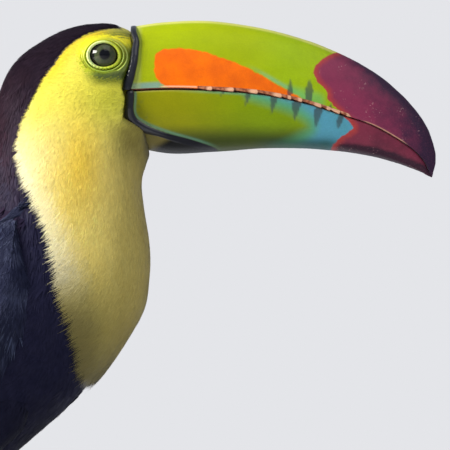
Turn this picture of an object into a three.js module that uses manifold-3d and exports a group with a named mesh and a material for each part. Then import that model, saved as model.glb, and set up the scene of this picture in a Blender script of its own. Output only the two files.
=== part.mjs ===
// A life-size keel-billed toucan on a cut length of branch, held by a plain display stand.
// Millimetres, +Z up. The origin is the centre of the stand's underside and the bill points along +X.
//
// The bird is drawn in its own frame, whose origin is the gape, where the two halves of the bill meet the
// face. Head, neck, trunk, rump and bill are lofted as one closed body and then parted by thin cuts.
import * as THREE from "three";
import { mergeVertices } from "three/addons/utils/BufferGeometryUtils.js";
import Module from "manifold-3d";

const wasm = await Module();
wasm.setup();

// ---- Driving dimensions ----
const GAP = 0.3; // left between neighbouring pieces
const SIMPLIFY = 0.05; // how far a finished surface may move to lose needless triangles
const BASE_RADIUS = 100;
const BASE_HEIGHT = 18;
const BASE_BEVEL = 2;
const ROD_RADIUS = 5;
const FERRULE_RADIUS = 9;
const FERRULE_HEIGHT = 6;
const PERCH_RADIUS = 15;
const PERCH_LENGTH = 150;
const PERCH_TOP = 162;
const GAPE = new THREE.Vector3(57, 0, PERCH_TOP + 220);
const EYE = new THREE.Vector3(-15, 14.2, 15.7);
const EYE_RADIUS = 7.6;
const EYE_SECTIONS = 16; // round the eyeball
const HIP = new THREE.Vector3(-60, 20, -145);
const ANKLE = new THREE.Vector3(-79, 21, -172);
const THIGH_RADIUS = [14, 6.5]; // at the hip and at the ankle
const SHANK_RADIUS = 3.6;
const FOOT_SPREAD = 19; // from the middle plane to the middle of each foot
const FOOT_RISE = 3.2; // from the perch's top to the middle of the foot
const FOOT_PAD_LENGTH = 12;

// Stations down the bird, from the forehead to the end of the tail coverts. back and belly are the ends of
// a section in the side view, [x, z]; halfWidth is its greatest half-width, and low moves that towards the
// throat or belly.
const BODY_STATIONS = [
  { back: [0, 28.5], belly: [2, -20], halfWidth: 16.4, low: 0.1 }, // inside the bill's root
  { back: [-12, 32.6], belly: [5.5, -26], halfWidth: 20.2, low: 0.16 }, // eye
  { back: [-28, 31.2], belly: [4.2, -31.5], halfWidth: 23.6, low: 0.14 }, // crown and chin
  { back: [-44, 24], belly: [2.2, -40], halfWidth: 26, low: 0.1 }, // ear and throat
  { back: [-57.5, 12.4], belly: [3.6, -53], halfWidth: 27.8, low: 0.06 }, // nape
  { back: [-65.5, -8], belly: [6.1, -69], halfWidth: 30.5, low: 0.02 }, // neck
  { back: [-71, -34], belly: [5.9, -84], halfWidth: 34.5, low: 0 }, // shoulder
  { back: [-79, -64], belly: [1.4, -101], halfWidth: 38, low: -0.02 }, // breast
  { back: [-91, -98], belly: [-17.4, -128.5], halfWidth: 38.6, low: -0.04 }, // end of the bib
  { back: [-103.5, -130], belly: [-48, -156.6], halfWidth: 34.5, low: -0.04 }, // belly
  { back: [-113, -157], belly: [-79, -184], halfWidth: 26, low: 0 }, // vent
  { back: [-120, -178], belly: [-102, -199], halfWidth: 17, low: 0 }, // coverts
  { back: [-126, -196], belly: [-117, -209], halfWidth: 10, low: 0 }, // ends of the coverts
];
const BODY_STEPS = 30;
const BODY_SIDES = 22;

// Stations along the bill, from inside its root to just short of the tip. ridge, edge and keel are the top,
// the cutting edge and the bottom in the side view, and halfWidth is the half-width at the cutting edge.
const BILL_STATIONS = [
  { ridge: [-5, 31], edge: [-5, -0.5], keel: [-5, -22], halfWidth: 17.2 },
  { ridge: [12, 33.5], edge: [14, 0.3], keel: [14, -25.8], halfWidth: 17.4 },
  { ridge: [33, 34.1], edge: [34, -0.1], keel: [35, -25.1], halfWidth: 16.8 },
  { ridge: [56, 30.9], edge: [56, -1.6], keel: [57, -23.6], halfWidth: 15.4 },
  { ridge: [77, 25.2], edge: [76, -5.4], keel: [76, -23.7], halfWidth: 13.4 },
  { ridge: [95, 17.6], edge: [92, -10.3], keel: [92, -25.1], halfWidth: 11.2 },
  { ridge: [110, 8.7], edge: [106, -14.8], keel: [105, -27.3], halfWidth: 8.9 },
  { ridge: [122, -2.2], edge: [117, -20.5], keel: [116, -30.2], halfWidth: 6.6 },
  { ridge: [130, -12.8], edge: [125, -25.7], keel: [123, -32.7], halfWidth: 4.6 },
  { ridge: [134, -23.5], edge: [129.4, -30.4], keel: [128, -34.8], halfWidth: 2.8 },
  { ridge: [134.5, -31], edge: [131.4, -34], keel: [130.4, -36.2], halfWidth: 1.5 },
];
const BILL_TIP = [132.7, -37.2];
const BILL_STEPS = 24;
const BILL_SIDES = 18;
const BILL_LAST_STEP = 0.985; // the last ring, as a share of the way to the tip

// The rear rim of the bill in the side view, from above the forehead to the chin's point under the bill.
const BILL_RIM = [
  [-3.6, 45],
  [-2.7, 26.4],
  [-1.8, 20.5],
  [-2.7, 13.6],
  [-5.8, 4.5],
  [-6.6, 0],
  [-5, -5],
  [-5.8, -15.2],
  [3.6, -18.9],
  [17, -22.3],
  [26, -29],
];

// Side-view lines, [x, z] to [x, z], along which the body is parted.
const HEAD_CUT = [
  [-85, 13],
  [30, -56],
];
const NECK_CUT = [
  [-95, -24],
  [35, -72],
];
const RUMP_CUT = [
  [-130, -128],
  [-35, -182],
];

// The folded wing is laid out on a line in the side view from the bend to the tip. Its edges and its
// half-width are taken at even steps along that line.
const WING_BEND = new THREE.Vector2(-47, -62);
const WING_TIP = new THREE.Vector2(-139, -233);
const WING_UPPER_EDGE = [10, 24, 25, 23, 20, 17, 12, 4];
const WING_LOWER_EDGE = [5, -8.5, -13.6, -13.4, -10.5, -7, -3.6, -2];
const WING_HALF_WIDTH = [40, 43.6, 45.2, 44.2, 40.6, 33.6, 24, 16.5];
const WING_MIDDLE = [-15, 4]; // line of greatest width, at the bend and at the tip
const WING_DEPTH = [52, 22]; // half-depth of the round that the wing lies on, at the bend and at the tip
const WING_THICKNESS = [9, 3];
const WING_STEPS = 16;
const WING_CROSS_STEPS = 6;

// The tail leaves the body between the coverts and hangs along a straight line.
const TAIL_ROOT = new THREE.Vector2(-108, -172);
const TAIL_TIP = new THREE.Vector2(-181, -309);
const TAIL_HALF_WIDTH = [10, 15, 19, 22, 23.5, 24, 23, 18, 8];
const TAIL_THICKNESS = [5, 1.8];
const TAIL_CAMBER = 4; // how far the sides droop below the middle
const TAIL_STEPS = 12;
const TAIL_CROSS_STEPS = 6;

// Toes are wound on the perch: angles are degrees from the top of the perch, forward positive, and stray is
// how far the toe goes sideways, outward positive.
const TOES = [
  { name: "inner_front", start: 4, end: 88, stray: -7, radius: 3.3 },
  { name: "outer_front", start: 4, end: 112, stray: 7, radius: 3.5 },
  { name: "inner_back", start: -6, end: -66, stray: -6, radius: 3.1 },
  { name: "outer_back", start: -6, end: -100, stray: 8, radius: 3.4 },
];
const TOE_STEPS = 6;
const TOE_SIDES = 8;
const CLAW_LENGTH = 10.5;
const CLAW_STEPS = 4;
const CLAW_SIDES = 6;
const CLAW_ARCH = 2.2; // height of the claw's bow over the perch
const TIP_RADIUS = 0.3;

// ---- Materials ----
const finish = (color, roughness, metalness = 0) =>
  new THREE.MeshStandardMaterial({ color, roughness, metalness });
const BLACK_PLUMAGE = finish(0x17151c, 0.6);
const YELLOW_PLUMAGE = finish(0xf3d64a, 0.75);
const GREEN_HORN = finish(0xa6c20a, 0.3);
const EYE_GLOSS = finish(0x2b2e1c, 0.08);
const BLUE_SCALE = finish(0x6f93ab, 0.5);
const CLAW_HORN = finish(0x3a3a40, 0.4);
const BARK = finish(0x7c6a60, 0.9);
const STAND_WOOD = finish(0x4a3324, 0.4);
const STAND_STEEL = finish(0xb8b8bc, 0.3, 1);

// ---- Shape helpers ----
const lerp = THREE.MathUtils.lerp;
const degrees = THREE.MathUtils.degToRad;

// A value taken smoothly from evenly spaced ones, at t from 0 to 1.
function along(values, t) {
  const curve = new THREE.SplineCurve(values.map((v, i) => new THREE.Vector2(i, v)));
  return curve.getPoint(t).y;
}

// A smooth line through side-view points.
function outline(points) {
  const places = points.map(([x, z]) => new THREE.Vector3(x, 0, z));
  return new THREE.CatmullRomCurve3(places, false, "catmullrom");
}

// Rings of points joined into one closed surface, with a point at the middle of each end.
function loft(rings) {
  const sides = rings[0].length;
  const middle = (ring) =>
    ring.reduce((sum, p) => sum.add(p), new THREE.Vector3()).divideScalar(sides);
  const points = [...rings.flat(), middle(rings[0]), middle(rings.at(-1))];
  const index = [];
  for (let i = 0; i < rings.length - 1; i++) {
    for (let j = 0; j < sides; j++) {
      const a = i * sides + j;
      const b = i * sides + ((j + 1) % sides);
      index.push(a, b, b + sides, a, b + sides, a + sides);
    }
  }
  const [first, last] = [points.length - 2, points.length - 1];
  for (let j = 0; j < sides; j++) {
    const next = (j + 1) % sides;
    index.push(first, next, j);
    index.push(last, (rings.length - 1) * sides + j, (rings.length - 1) * sides + next);
  }
  return solid(new THREE.BufferGeometry().setFromPoints(points).setIndex(index));
}

// A three.js geometry as a solid. A surface that was wound inwards is turned round.
function solid(geometry) {
  const bare = geometry.clone();
  bare.deleteAttribute("normal");
  bare.deleteAttribute("uv");
  const merged = mergeVertices(bare, 1e-4);
  const build = (triVerts) => {
    const vertProperties = new Float32Array(merged.attributes.position.array);
    return new wasm.Manifold(new wasm.Mesh({ numProp: 3, vertProperties, triVerts }));
  };
  const triangles = new Uint32Array(merged.index.array);
  const made = build(triangles);
  return made.volume() > 0 ? made : build(triangles.reverse());
}

function geometryOf(manifold) {
  const { vertProperties, triVerts, numProp, numVert } = manifold.getMesh();
  const positions = new Float32Array(numVert * 3);
  for (let i = 0; i < numVert; i++) {
    positions.set(vertProperties.subarray(i * numProp, i * numProp + 3), i * 3);
  }
  const geometry = new THREE.BufferGeometry()
    .setAttribute("position", new THREE.BufferAttribute(positions, 3))
    .setIndex(new THREE.BufferAttribute(triVerts, 1));
  geometry.computeVertexNormals();
  return geometry;
}

function largestPiece(manifold) {
  return manifold.decompose().reduce((best, piece) => (piece.volume() > best.volume() ? piece : best));
}

// A side-view outline pushed through the whole width of the bird.
function prism(points) {
  const halfWidth = 80;
  const shape = new THREE.Shape(points.map(([x, z]) => new THREE.Vector2(x, z)));
  const geometry = new THREE.ExtrudeGeometry(shape, { depth: 2 * halfWidth, bevelEnabled: false });
  return solid(geometry.translate(0, 0, -halfWidth).rotateX(Math.PI / 2));
}

// A cut one GAP wide along a side-view line.
function cut(points) {
  const side = (sign) =>
    points.map(([x, z], i) => {
      const [x0, z0] = points[Math.max(i - 1, 0)];
      const [x1, z1] = points[Math.min(i + 1, points.length - 1)];
      const shift = (sign * GAP) / 2 / Math.hypot(x1 - x0, z1 - z0);
      return [x - (z1 - z0) * shift, z + (x1 - x0) * shift];
    });
  return prism([...side(1), ...side(-1).reverse()]);
}

// A round tube: place(t) is its middle line and radius(t) its radius.
function tube(place, radius, steps, sides) {
  const nudge = 0.01;
  const rings = [];
  for (let i = 0; i <= steps; i++) {
    const t = i / steps;
    const ahead = place(Math.min(t + nudge, 1)).sub(place(Math.max(t - nudge, 0))).normalize();
    const across = new THREE.Vector3(0, 1, 0).cross(ahead);
    if (across.length() < 0.3) across.set(1, 0, 0).cross(ahead);
    across.normalize();
    const up = ahead.clone().cross(across);
    const ring = [];
    for (let j = 0; j < sides; j++) {
      const a = (2 * Math.PI * j) / sides;
      const point = place(t).addScaledVector(across, radius(t) * Math.cos(a));
      ring.push(point.addScaledVector(up, radius(t) * Math.sin(a)));
    }
    rings.push(ring);
  }
  return loft(rings);
}

// ---- Body and bill ----
// Each section of the body is an oval from the back to the belly, grown outwards by grow.
function bodyLoft(grow = 0) {
  const back = outline(BODY_STATIONS.map((s) => s.back));
  const belly = outline(BODY_STATIONS.map((s) => s.belly));
  const rings = [];
  for (let i = 0; i <= BODY_STEPS; i++) {
    const t = i / BODY_STEPS;
    const up = back.getPoint(t).sub(belly.getPoint(t));
    const middle = belly.getPoint(t).addScaledVector(up, 0.5);
    const halfDepth = up.length() / 2 + grow;
    up.normalize();
    const halfWidth = along(BODY_STATIONS.map((s) => s.halfWidth), t) + grow;
    const low = along(BODY_STATIONS.map((s) => s.low), t);
    const ring = [];
    for (let j = 0; j < BODY_SIDES; j++) {
      const a = (2 * Math.PI * (j + 0.5)) / BODY_SIDES;
      const point = middle.clone().addScaledVector(up, halfDepth * Math.cos(a));
      ring.push(point.setY(halfWidth * Math.sin(a) * (1 - low * Math.cos(a))));
    }
    rings.push(ring);
  }
  return loft(rings);
}

// Each section of the bill is two half-ovals that meet at the cutting edges. The upper one is narrow along
// the ridge, and the lower one is flattened underneath.
function billLoft() {
  const ridge = outline([...BILL_STATIONS.map((s) => s.ridge), BILL_TIP]);
  const edge = outline([...BILL_STATIONS.map((s) => s.edge), BILL_TIP]);
  const keel = outline([...BILL_STATIONS.map((s) => s.keel), BILL_TIP]);
  const widths = [...BILL_STATIONS.map((s) => s.halfWidth), TIP_RADIUS];
  const upper = { end: ridge, rise: 0.94, spread: 0.84 };
  const lower = { end: keel, rise: 0.8, spread: 0.74 };
  const rings = [];
  for (let i = 0; i <= BILL_STEPS; i++) {
    const t = (BILL_LAST_STEP * i) / BILL_STEPS;
    const ring = [];
    for (let j = 0; j < BILL_SIDES; j++) {
      const a = (2 * Math.PI * (j + 0.5)) / BILL_SIDES;
      const { end, rise, spread } = Math.sin(a) > 0 ? upper : lower;
      const point = edge.getPoint(t).lerp(end.getPoint(t), Math.abs(Math.sin(a)) ** rise);
      const share = Math.sign(Math.cos(a)) * Math.abs(Math.cos(a)) ** spread;
      ring.push(point.setY(along(widths, t) * share));
    }
    rings.push(ring);
  }
  return loft(rings);
}

// The side-view line where the two halves of the bill close on each other.
function closingLine() {
  const edge = outline([...BILL_STATIONS.map((s) => s.edge), BILL_TIP]);
  const points = edge.getPoints(BILL_STEPS).map((p) => [p.x, p.z]);
  const [rearX, rearZ] = points[0];
  const [tipX, tipZ] = points.at(-1);
  return [[rearX - 4, rearZ], ...points, [tipX + 0.8, tipZ - 5]];
}

function eyeball(side, grow = 0) {
  const geometry = new THREE.SphereGeometry(EYE_RADIUS + grow, EYE_SECTIONS, EYE_SECTIONS / 2);
  return solid(geometry.rotateX(Math.PI / 2).translate(EYE.x, side * EYE.y, EYE.z));
}

// ---- Wings and tail ----
// A point of the wing: t runs from the bend to the tip and share from the lower edge to the upper one.
function wingPoint(side, t, share, inward) {
  const axis = WING_TIP.clone().sub(WING_BEND).normalize();
  const across = new THREE.Vector2(axis.y, -axis.x);
  const height = lerp(along(WING_LOWER_EDGE, t), along(WING_UPPER_EDGE, t), share);
  const offMiddle = (height - lerp(...WING_MIDDLE, t)) / lerp(...WING_DEPTH, t);
  const out = along(WING_HALF_WIDTH, t) * Math.sqrt(Math.max(1 - offMiddle ** 2, 0));
  const flat = WING_BEND.clone().lerp(WING_TIP, t).addScaledVector(across, height);
  return new THREE.Vector3(flat.x, side * (out - inward * lerp(...WING_THICKNESS, t)), flat.y);
}

function wingLoft(side) {
  const rings = [];
  for (let i = 0; i <= WING_STEPS; i++) {
    const ring = [];
    for (let j = 0; j <= WING_CROSS_STEPS; j++) {
      ring.push(wingPoint(side, i / WING_STEPS, j / WING_CROSS_STEPS, 0));
    }
    for (let j = WING_CROSS_STEPS; j >= 0; j--) {
      ring.push(wingPoint(side, i / WING_STEPS, j / WING_CROSS_STEPS, 1));
    }
    rings.push(ring);
  }
  return loft(rings);
}

// The tail is a thin cambered blade, rounded at its end.
function tailLoft(grow = 0) {
  const line = TAIL_TIP.clone().sub(TAIL_ROOT).normalize();
  const towardsBelly = new THREE.Vector3(-line.y, 0, line.x);
  const rings = [];
  for (let i = 0; i <= TAIL_STEPS; i++) {
    const t = 1 - (1 - i / TAIL_STEPS) ** 1.4;
    const place = TAIL_ROOT.clone().lerp(TAIL_TIP, t);
    const halfWidth = along(TAIL_HALF_WIDTH, t) + grow;
    const halfThickness = lerp(...TAIL_THICKNESS, t) / 2 + grow;
    const ring = [];
    for (const face of [1, -1]) {
      for (let j = 0; j <= TAIL_CROSS_STEPS; j++) {
        const share = face * (1 - (2 * j) / TAIL_CROSS_STEPS);
        const lift = TAIL_CAMBER * share ** 2 - face * halfThickness;
        const point = new THREE.Vector3(place.x, halfWidth * share, place.y);
        ring.push(point.addScaledVector(towardsBelly, lift));
      }
    }
    rings.push(ring);
  }
  return loft(rings);
}

// ---- Perch, legs and feet ----
const perchMiddle = new THREE.Vector3(0, 0, PERCH_TOP - PERCH_RADIUS);

// A cut length of branch along Y, which droops and thickens a little towards its ends.
function perchLoft(grow = 0) {
  const droop = 3;
  const thickening = 1.2;
  const place = (t) => {
    const fall = -droop * (2 * t - 1) ** 4;
    return perchMiddle.clone().add(new THREE.Vector3(0, PERCH_LENGTH * (t - 0.5), fall));
  };
  const radius = (t) => PERCH_RADIUS + grow + thickening * (2 * t - 1) ** 4;
  return tube(place, radius, 12, 14);
}

// A point wound on the perch, at an angle in radians from its top and a height over its surface.
function onPerch(angle, y, height) {
  const reach = PERCH_RADIUS + height;
  return perchMiddle.clone().add(new THREE.Vector3(reach * Math.sin(angle), y, reach * Math.cos(angle)));
}

function toeAcross(side, toe, t) {
  return side * (FOOT_SPREAD + toe.stray * (0.35 + 0.65 * t));
}

// A toe has three knuckles, each a little thicker than the stretch between.
function toeSolid(side, toe, grow = 0) {
  const place = (t) =>
    onPerch(degrees(lerp(toe.start, toe.end, t)), toeAcross(side, toe, t), 0.9 * toe.radius);
  const radius = (t) => toe.radius * (1 - 0.22 * t) * (1 + 0.07 * Math.cos(6 * Math.PI * t)) + grow;
  return tube(place, radius, TOE_STEPS, TOE_SIDES);
}

// A claw goes on from the toe's end and bends back in towards the perch.
function clawSolid(side, toe, grow = 0) {
  const turn = (Math.sign(toe.end) * CLAW_LENGTH) / (PERCH_RADIUS + toe.radius);
  const place = (t) => {
    const height = 0.9 * toe.radius + CLAW_ARCH * Math.sin(Math.PI * t) - 2 * TIP_RADIUS * t;
    return onPerch(degrees(toe.end) + turn * t, toeAcross(side, toe, 1), height);
  };
  const radius = (t) => TIP_RADIUS + 0.62 * toe.radius * (1 - t) ** 0.8 + grow;
  return tube(place, radius, CLAW_STEPS, CLAW_SIDES);
}

function thighSolid(side, grow = 0) {
  const place = (t) => HIP.clone().lerp(ANKLE, t).setY(side * lerp(HIP.y, ANKLE.y, t)).add(GAPE);
  return tube(place, (t) => lerp(...THIGH_RADIUS, t) + grow, 6, 12);
}

// The bare shank, with the pad that the toes spread from.
function shankSolid(side, grow = 0) {
  const ankle = ANKLE.clone().setY(side * ANKLE.y).add(GAPE);
  const foot = new THREE.Vector3(0, side * FOOT_SPREAD, PERCH_TOP + FOOT_RISE);
  const place = (t) => ankle.clone().lerp(foot, 0.04 + 0.86 * t);
  const radius = (t) => SHANK_RADIUS - 0.7 * Math.sin(Math.PI * t) + 0.4 * t + grow;
  const padPlace = (t) => foot.clone().add(new THREE.Vector3(FOOT_PAD_LENGTH * (0.46 - t), 0, 0));
  const padRadius = (t) => 2 + 2.6 * Math.sin(Math.PI * t) + grow;
  return tube(place, radius, 6, 10).add(tube(padPlace, padRadius, 6, 8));
}

// ---- The bird on its perch ----
const toucan = new THREE.Group();
const SIDES = { left: 1, right: -1 };

function addNode(name, made, material) {
  const mesh = new THREE.Mesh(geometryOf(largestPiece(made.simplify(SIMPLIFY))), material);
  mesh.name = name;
  toucan.add(mesh);
}

// Nodes drawn in the bird's own frame are moved to the stand's.
function addToBird(name, made, material) {
  addNode(name, made.translate(GAPE.toArray()), material);
}

// The piece of a parted solid whose middle is nearest to a side-view point.
function pieceNear(pieces, [x, z]) {
  const distance = (piece) => {
    const { min, max } = piece.boundingBox();
    return Math.hypot((min[0] + max[0]) / 2 - x, (min[2] + max[2]) / 2 - z);
  };
  return pieces.reduce((best, piece) => (distance(piece) < distance(best) ? piece : best));
}

const grownTail = tailLoft(GAP);
const grownEyes = Object.values(SIDES).map((side) => eyeball(side, GAP));
const cuts = [BILL_RIM, HEAD_CUT, NECK_CUT, RUMP_CUT].map(cut);
const parted = wasm.Manifold.difference([bodyLoft().add(billLoft()), ...cuts, ...grownEyes, grownTail]);
const beforeRim = prism([...BILL_RIM, [150, -60], [150, 45]]);
const halves = parted.intersect(beforeRim).subtract(cut(closingLine())).decompose();
const lengths = parted.subtract(beforeRim).decompose();
addToBird("upper_bill", pieceNear(halves, [66, 0]), GREEN_HORN);
addToBird("lower_bill", pieceNear(halves, [64, -19]), GREEN_HORN);
addToBird("head", pieceNear(lengths, [-24, -2]), YELLOW_PLUMAGE);
addToBird("neck", pieceNear(lengths, [-30, -30]), YELLOW_PLUMAGE);
addToBird("trunk", pieceNear(lengths, [-50, -105]), BLACK_PLUMAGE);
addToBird("rump", pieceNear(lengths, [-100, -175]), BLACK_PLUMAGE);
addToBird("tail", tailLoft(), BLACK_PLUMAGE);

const grownBody = bodyLoft(GAP);
const perch = perchLoft();
const grownPerch = perchLoft(GAP);
for (const [name, side] of Object.entries(SIDES)) {
  addToBird(`eye_${name}`, eyeball(side), EYE_GLOSS);
  addToBird(`wing_${name}`, wingLoft(side).subtract(grownBody).subtract(grownTail), BLACK_PLUMAGE);

  const bodyAbove = grownBody.translate(GAPE.toArray());
  addNode(`thigh_${name}`, thighSolid(side).subtract(bodyAbove), BLACK_PLUMAGE);
  const occupied = [bodyAbove, thighSolid(side, GAP), grownPerch];
  addNode(`shank_${name}`, wasm.Manifold.difference([shankSolid(side), ...occupied]), BLUE_SCALE);
  occupied.push(shankSolid(side, GAP));
  for (const toe of TOES) {
    const toePiece = wasm.Manifold.difference([toeSolid(side, toe), ...occupied]);
    addNode(`toe_${toe.name}_${name}`, toePiece, BLUE_SCALE);
    occupied.push(toeSolid(side, toe, GAP));
  }
  for (const toe of TOES) {
    const clawPiece = wasm.Manifold.difference([clawSolid(side, toe), ...occupied]);
    addNode(`claw_${toe.name}_${name}`, clawPiece, CLAW_HORN);
  }
}

// ---- Stand ----
addNode("perch", perch, BARK);
const rodBottom = BASE_HEIGHT + GAP;
const rod = new THREE.CylinderGeometry(ROD_RADIUS, ROD_RADIUS, perchMiddle.z - rodBottom, 20);
rod.rotateX(Math.PI / 2).translate(0, 0, (perchMiddle.z + rodBottom) / 2);
addNode("stand_rod", solid(rod).subtract(grownPerch), STAND_STEEL);

// A lathed piece: profile lists [radius, height] from the axis out, up and back.
function turned(profile, segments) {
  const points = profile.map(([r, z]) => new THREE.Vector2(r, z));
  return solid(new THREE.LatheGeometry(points, segments).rotateX(Math.PI / 2));
}
const bore = ROD_RADIUS + GAP;
const ferrule = turned(
  [
    [bore, 0],
    [FERRULE_RADIUS, 0],
    [FERRULE_RADIUS, FERRULE_HEIGHT / 2],
    [bore + 1.2, FERRULE_HEIGHT],
    [bore, FERRULE_HEIGHT],
    [bore, 0],
  ],
  16,
);
addNode("stand_ferrule", ferrule.translate([0, 0, rodBottom]), STAND_STEEL);
const disc = turned(
  [
    [0, 0],
    [BASE_RADIUS - BASE_BEVEL / 2, 0],
    [BASE_RADIUS, BASE_BEVEL / 2],
    [BASE_RADIUS, BASE_HEIGHT - 2 * BASE_BEVEL],
    [BASE_RADIUS - 2 * BASE_BEVEL, BASE_HEIGHT],
    [0, BASE_HEIGHT],
  ],
  44,
);
addNode("stand_base", disc, STAND_WOOD);

export default toucan;
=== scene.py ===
import bpy
import numpy as np
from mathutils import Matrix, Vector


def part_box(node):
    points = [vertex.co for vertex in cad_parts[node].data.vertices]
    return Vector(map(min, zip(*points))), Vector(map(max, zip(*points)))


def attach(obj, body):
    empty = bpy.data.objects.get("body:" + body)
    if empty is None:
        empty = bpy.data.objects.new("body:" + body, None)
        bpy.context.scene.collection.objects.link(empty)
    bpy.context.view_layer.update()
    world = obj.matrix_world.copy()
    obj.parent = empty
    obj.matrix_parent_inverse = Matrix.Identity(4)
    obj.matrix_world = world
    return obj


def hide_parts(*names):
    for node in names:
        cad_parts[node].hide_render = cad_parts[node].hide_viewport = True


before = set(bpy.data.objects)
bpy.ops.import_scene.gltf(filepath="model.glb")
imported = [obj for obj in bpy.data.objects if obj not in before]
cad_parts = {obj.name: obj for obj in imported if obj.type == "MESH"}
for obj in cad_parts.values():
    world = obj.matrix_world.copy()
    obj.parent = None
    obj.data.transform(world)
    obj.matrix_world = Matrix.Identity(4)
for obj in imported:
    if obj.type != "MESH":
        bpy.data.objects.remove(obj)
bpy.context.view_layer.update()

# ---- Floor, lamps and camera ----
# A wide pale floor without walls, as in a studio. One broad lamp stands on the left, behind the nape,
# a weaker one faces the bird's flank, and the room gives an even, slightly blue light.
VIEW_MIDDLE = np.array([0.0966, 0.0, 0.3231])  # what the camera is aimed at
VIEW_DISTANCE = 1.8
VIEW_RISE = 8.0  # degrees that the camera looks up
VIEW_LENS = 320.0
FLOOR_SIZE = 60.0
ROOM_COLOUR = (0.776, 0.784, 0.815)  # the backdrop that the camera sees
ROOM_LIGHT = (0.60, 0.66, 0.80)  # the light that comes off it
ROOM_STRENGTH = 0.42


def linear(red, green, blue):
    """A colour as it shows on a screen, from 0 to 1, as the linear amounts that shaders take."""
    shown = np.array([red, green, blue], float)
    return np.where(shown <= 0.04045, shown / 12.92, ((shown + 0.055) / 1.055) ** 2.4)


def new_material(name, **settings):
    """A Principled material. Each setting goes on the shader's own socket: Coat_Weight is Coat Weight."""
    material = bpy.data.materials.new(name)
    material.use_nodes = True
    shader = material.node_tree.nodes["Principled BSDF"]
    for socket, value in settings.items():
        if np.size(value) == 3:
            value = (*value, 1.0)
        shader.inputs[socket.replace("_", " ")].default_value = value
    return material


def node(material, kind, inputs=(), **settings):
    """A new node. inputs gives pairs of a socket and its value, or another node's output."""
    made = material.node_tree.nodes.new(kind)
    for name, value in settings.items():
        setattr(made, name, value)
    for socket, value in inputs:
        if isinstance(value, bpy.types.NodeSocket):
            material.node_tree.links.new(value, made.inputs[socket])
        elif np.size(value) == 3 and made.inputs[socket].type == "RGBA":
            made.inputs[socket].default_value = (*value, 1.0)
        else:
            made.inputs[socket].default_value = value
    return made


def into_shader(material, socket, output):
    """Wires an output to one of the material's shader sockets."""
    shader = material.node_tree.nodes["Principled BSDF"]
    material.node_tree.links.new(output, shader.inputs[socket])


def place(material, stretch=(1.0, 1.0, 1.0)):
    """Object coordinates in millimetres, squeezed along each axis by stretch."""
    where = node(material, "ShaderNodeTexCoord").outputs["Object"]
    sizes = tuple(1000.0 * s for s in stretch)
    return node(material, "ShaderNodeMapping", [("Vector", where), ("Scale", sizes)]).outputs[0]


def noise(material, where, size, detail=3.0, roughness=0.5, distortion=0.0):
    """Cloudy noise whose lumps are about size millimetres across, from 0 to 1."""
    values = [("Vector", where), ("Scale", 1 / size), ("Detail", detail), ("Roughness", roughness)]
    values.append(("Distortion", distortion))
    return node(material, "ShaderNodeTexNoise", values).outputs["Fac"]


def blend(material, share, first, second, kind="MIX"):
    """Two colours mixed: all first where share is 0 and all second where it is 1."""
    made = node(material, "ShaderNodeMix", data_type="RGBA", blend_type=kind)
    for index, value in ((0, share), (6, first), (7, second)):
        if isinstance(value, bpy.types.NodeSocket):
            material.node_tree.links.new(value, made.inputs[index])
        else:
            made.inputs[index].default_value = value if index == 0 else (*value, 1.0)
    return made.outputs[2]


floor_paint = new_material("floor_paint", Base_Color=linear(0.84, 0.845, 0.86), Roughness=0.8)
floor_cloud = noise(floor_paint, place(floor_paint), 90.0, 4.0)
floor_tones = (linear(0.82, 0.825, 0.84), linear(0.86, 0.865, 0.88))
into_shader(floor_paint, "Base Color", blend(floor_paint, floor_cloud, *floor_tones))
half = FLOOR_SIZE / 2
floor_mesh = bpy.data.meshes.new("floor")
floor_corners = [(-half, -half, 0), (half, -half, 0), (half, half, 0), (-half, half, 0)]
floor_mesh.from_pydata(floor_corners, [], [(0, 1, 2, 3)])
floor_mesh.materials.append(floor_paint)
floor = bpy.data.objects.new("floor", floor_mesh)
bpy.context.scene.collection.objects.link(floor)

room = bpy.data.worlds.new("room")
room.use_nodes = True
seen = room.node_tree.nodes["Background"]
seen.inputs["Color"].default_value = (*ROOM_COLOUR, 1)
lit = node(room, "ShaderNodeBackground", [("Color", ROOM_LIGHT), ("Strength", ROOM_STRENGTH)])
to_camera = node(room, "ShaderNodeLightPath").outputs["Is Camera Ray"]
room_mix = node(room, "ShaderNodeMixShader", [(0, to_camera), (1, lit.outputs[0]), (2, seen.outputs[0])])
room.node_tree.links.new(room_mix.outputs[0], room.node_tree.nodes["World Output"].inputs["Surface"])
bpy.context.scene.world = room


def lamp(name, towards, distance, size, watts, colour):
    """A lamp of size, across and up, at a distance along the direction towards it, facing the bird."""
    light = bpy.data.lights.new(name, "AREA")
    light.shape = "RECTANGLE"
    light.size, light.size_y = size
    light.energy, light.color = watts, colour
    direction = np.array(towards) / np.linalg.norm(towards)
    made = bpy.data.objects.new(name, light)
    made.location = VIEW_MIDDLE + direction * distance
    from_lamp = bpy.context.scene.cursor.location.copy()
    from_lamp[:] = -direction
    made.rotation_euler = from_lamp.to_track_quat("-Z", "Y").to_euler()
    bpy.context.scene.collection.objects.link(made)


lamp("window_lamp", (-0.92, -0.35, 0.40), 2.2, (1.2, 0.65), 88, (1.0, 0.955, 0.88))
lamp("flank_lamp", (0.40, -0.6, 0.9), 2.6, (2.0, 2.0), 16, (1.0, 0.98, 0.95))

aim = np.radians(VIEW_RISE)
camera = bpy.data.objects.new("camera", bpy.data.cameras.new("camera"))
camera.location = VIEW_MIDDLE - VIEW_DISTANCE * np.array([0, np.cos(aim), np.sin(aim)])
camera.rotation_euler = (np.pi / 2 + aim, 0, 0)
camera.data.sensor_width, camera.data.lens = 36.0, VIEW_LENS
bpy.context.scene.collection.objects.link(camera)
bpy.context.scene.camera = camera
bpy.context.scene.view_settings.view_transform = "Standard"

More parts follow.
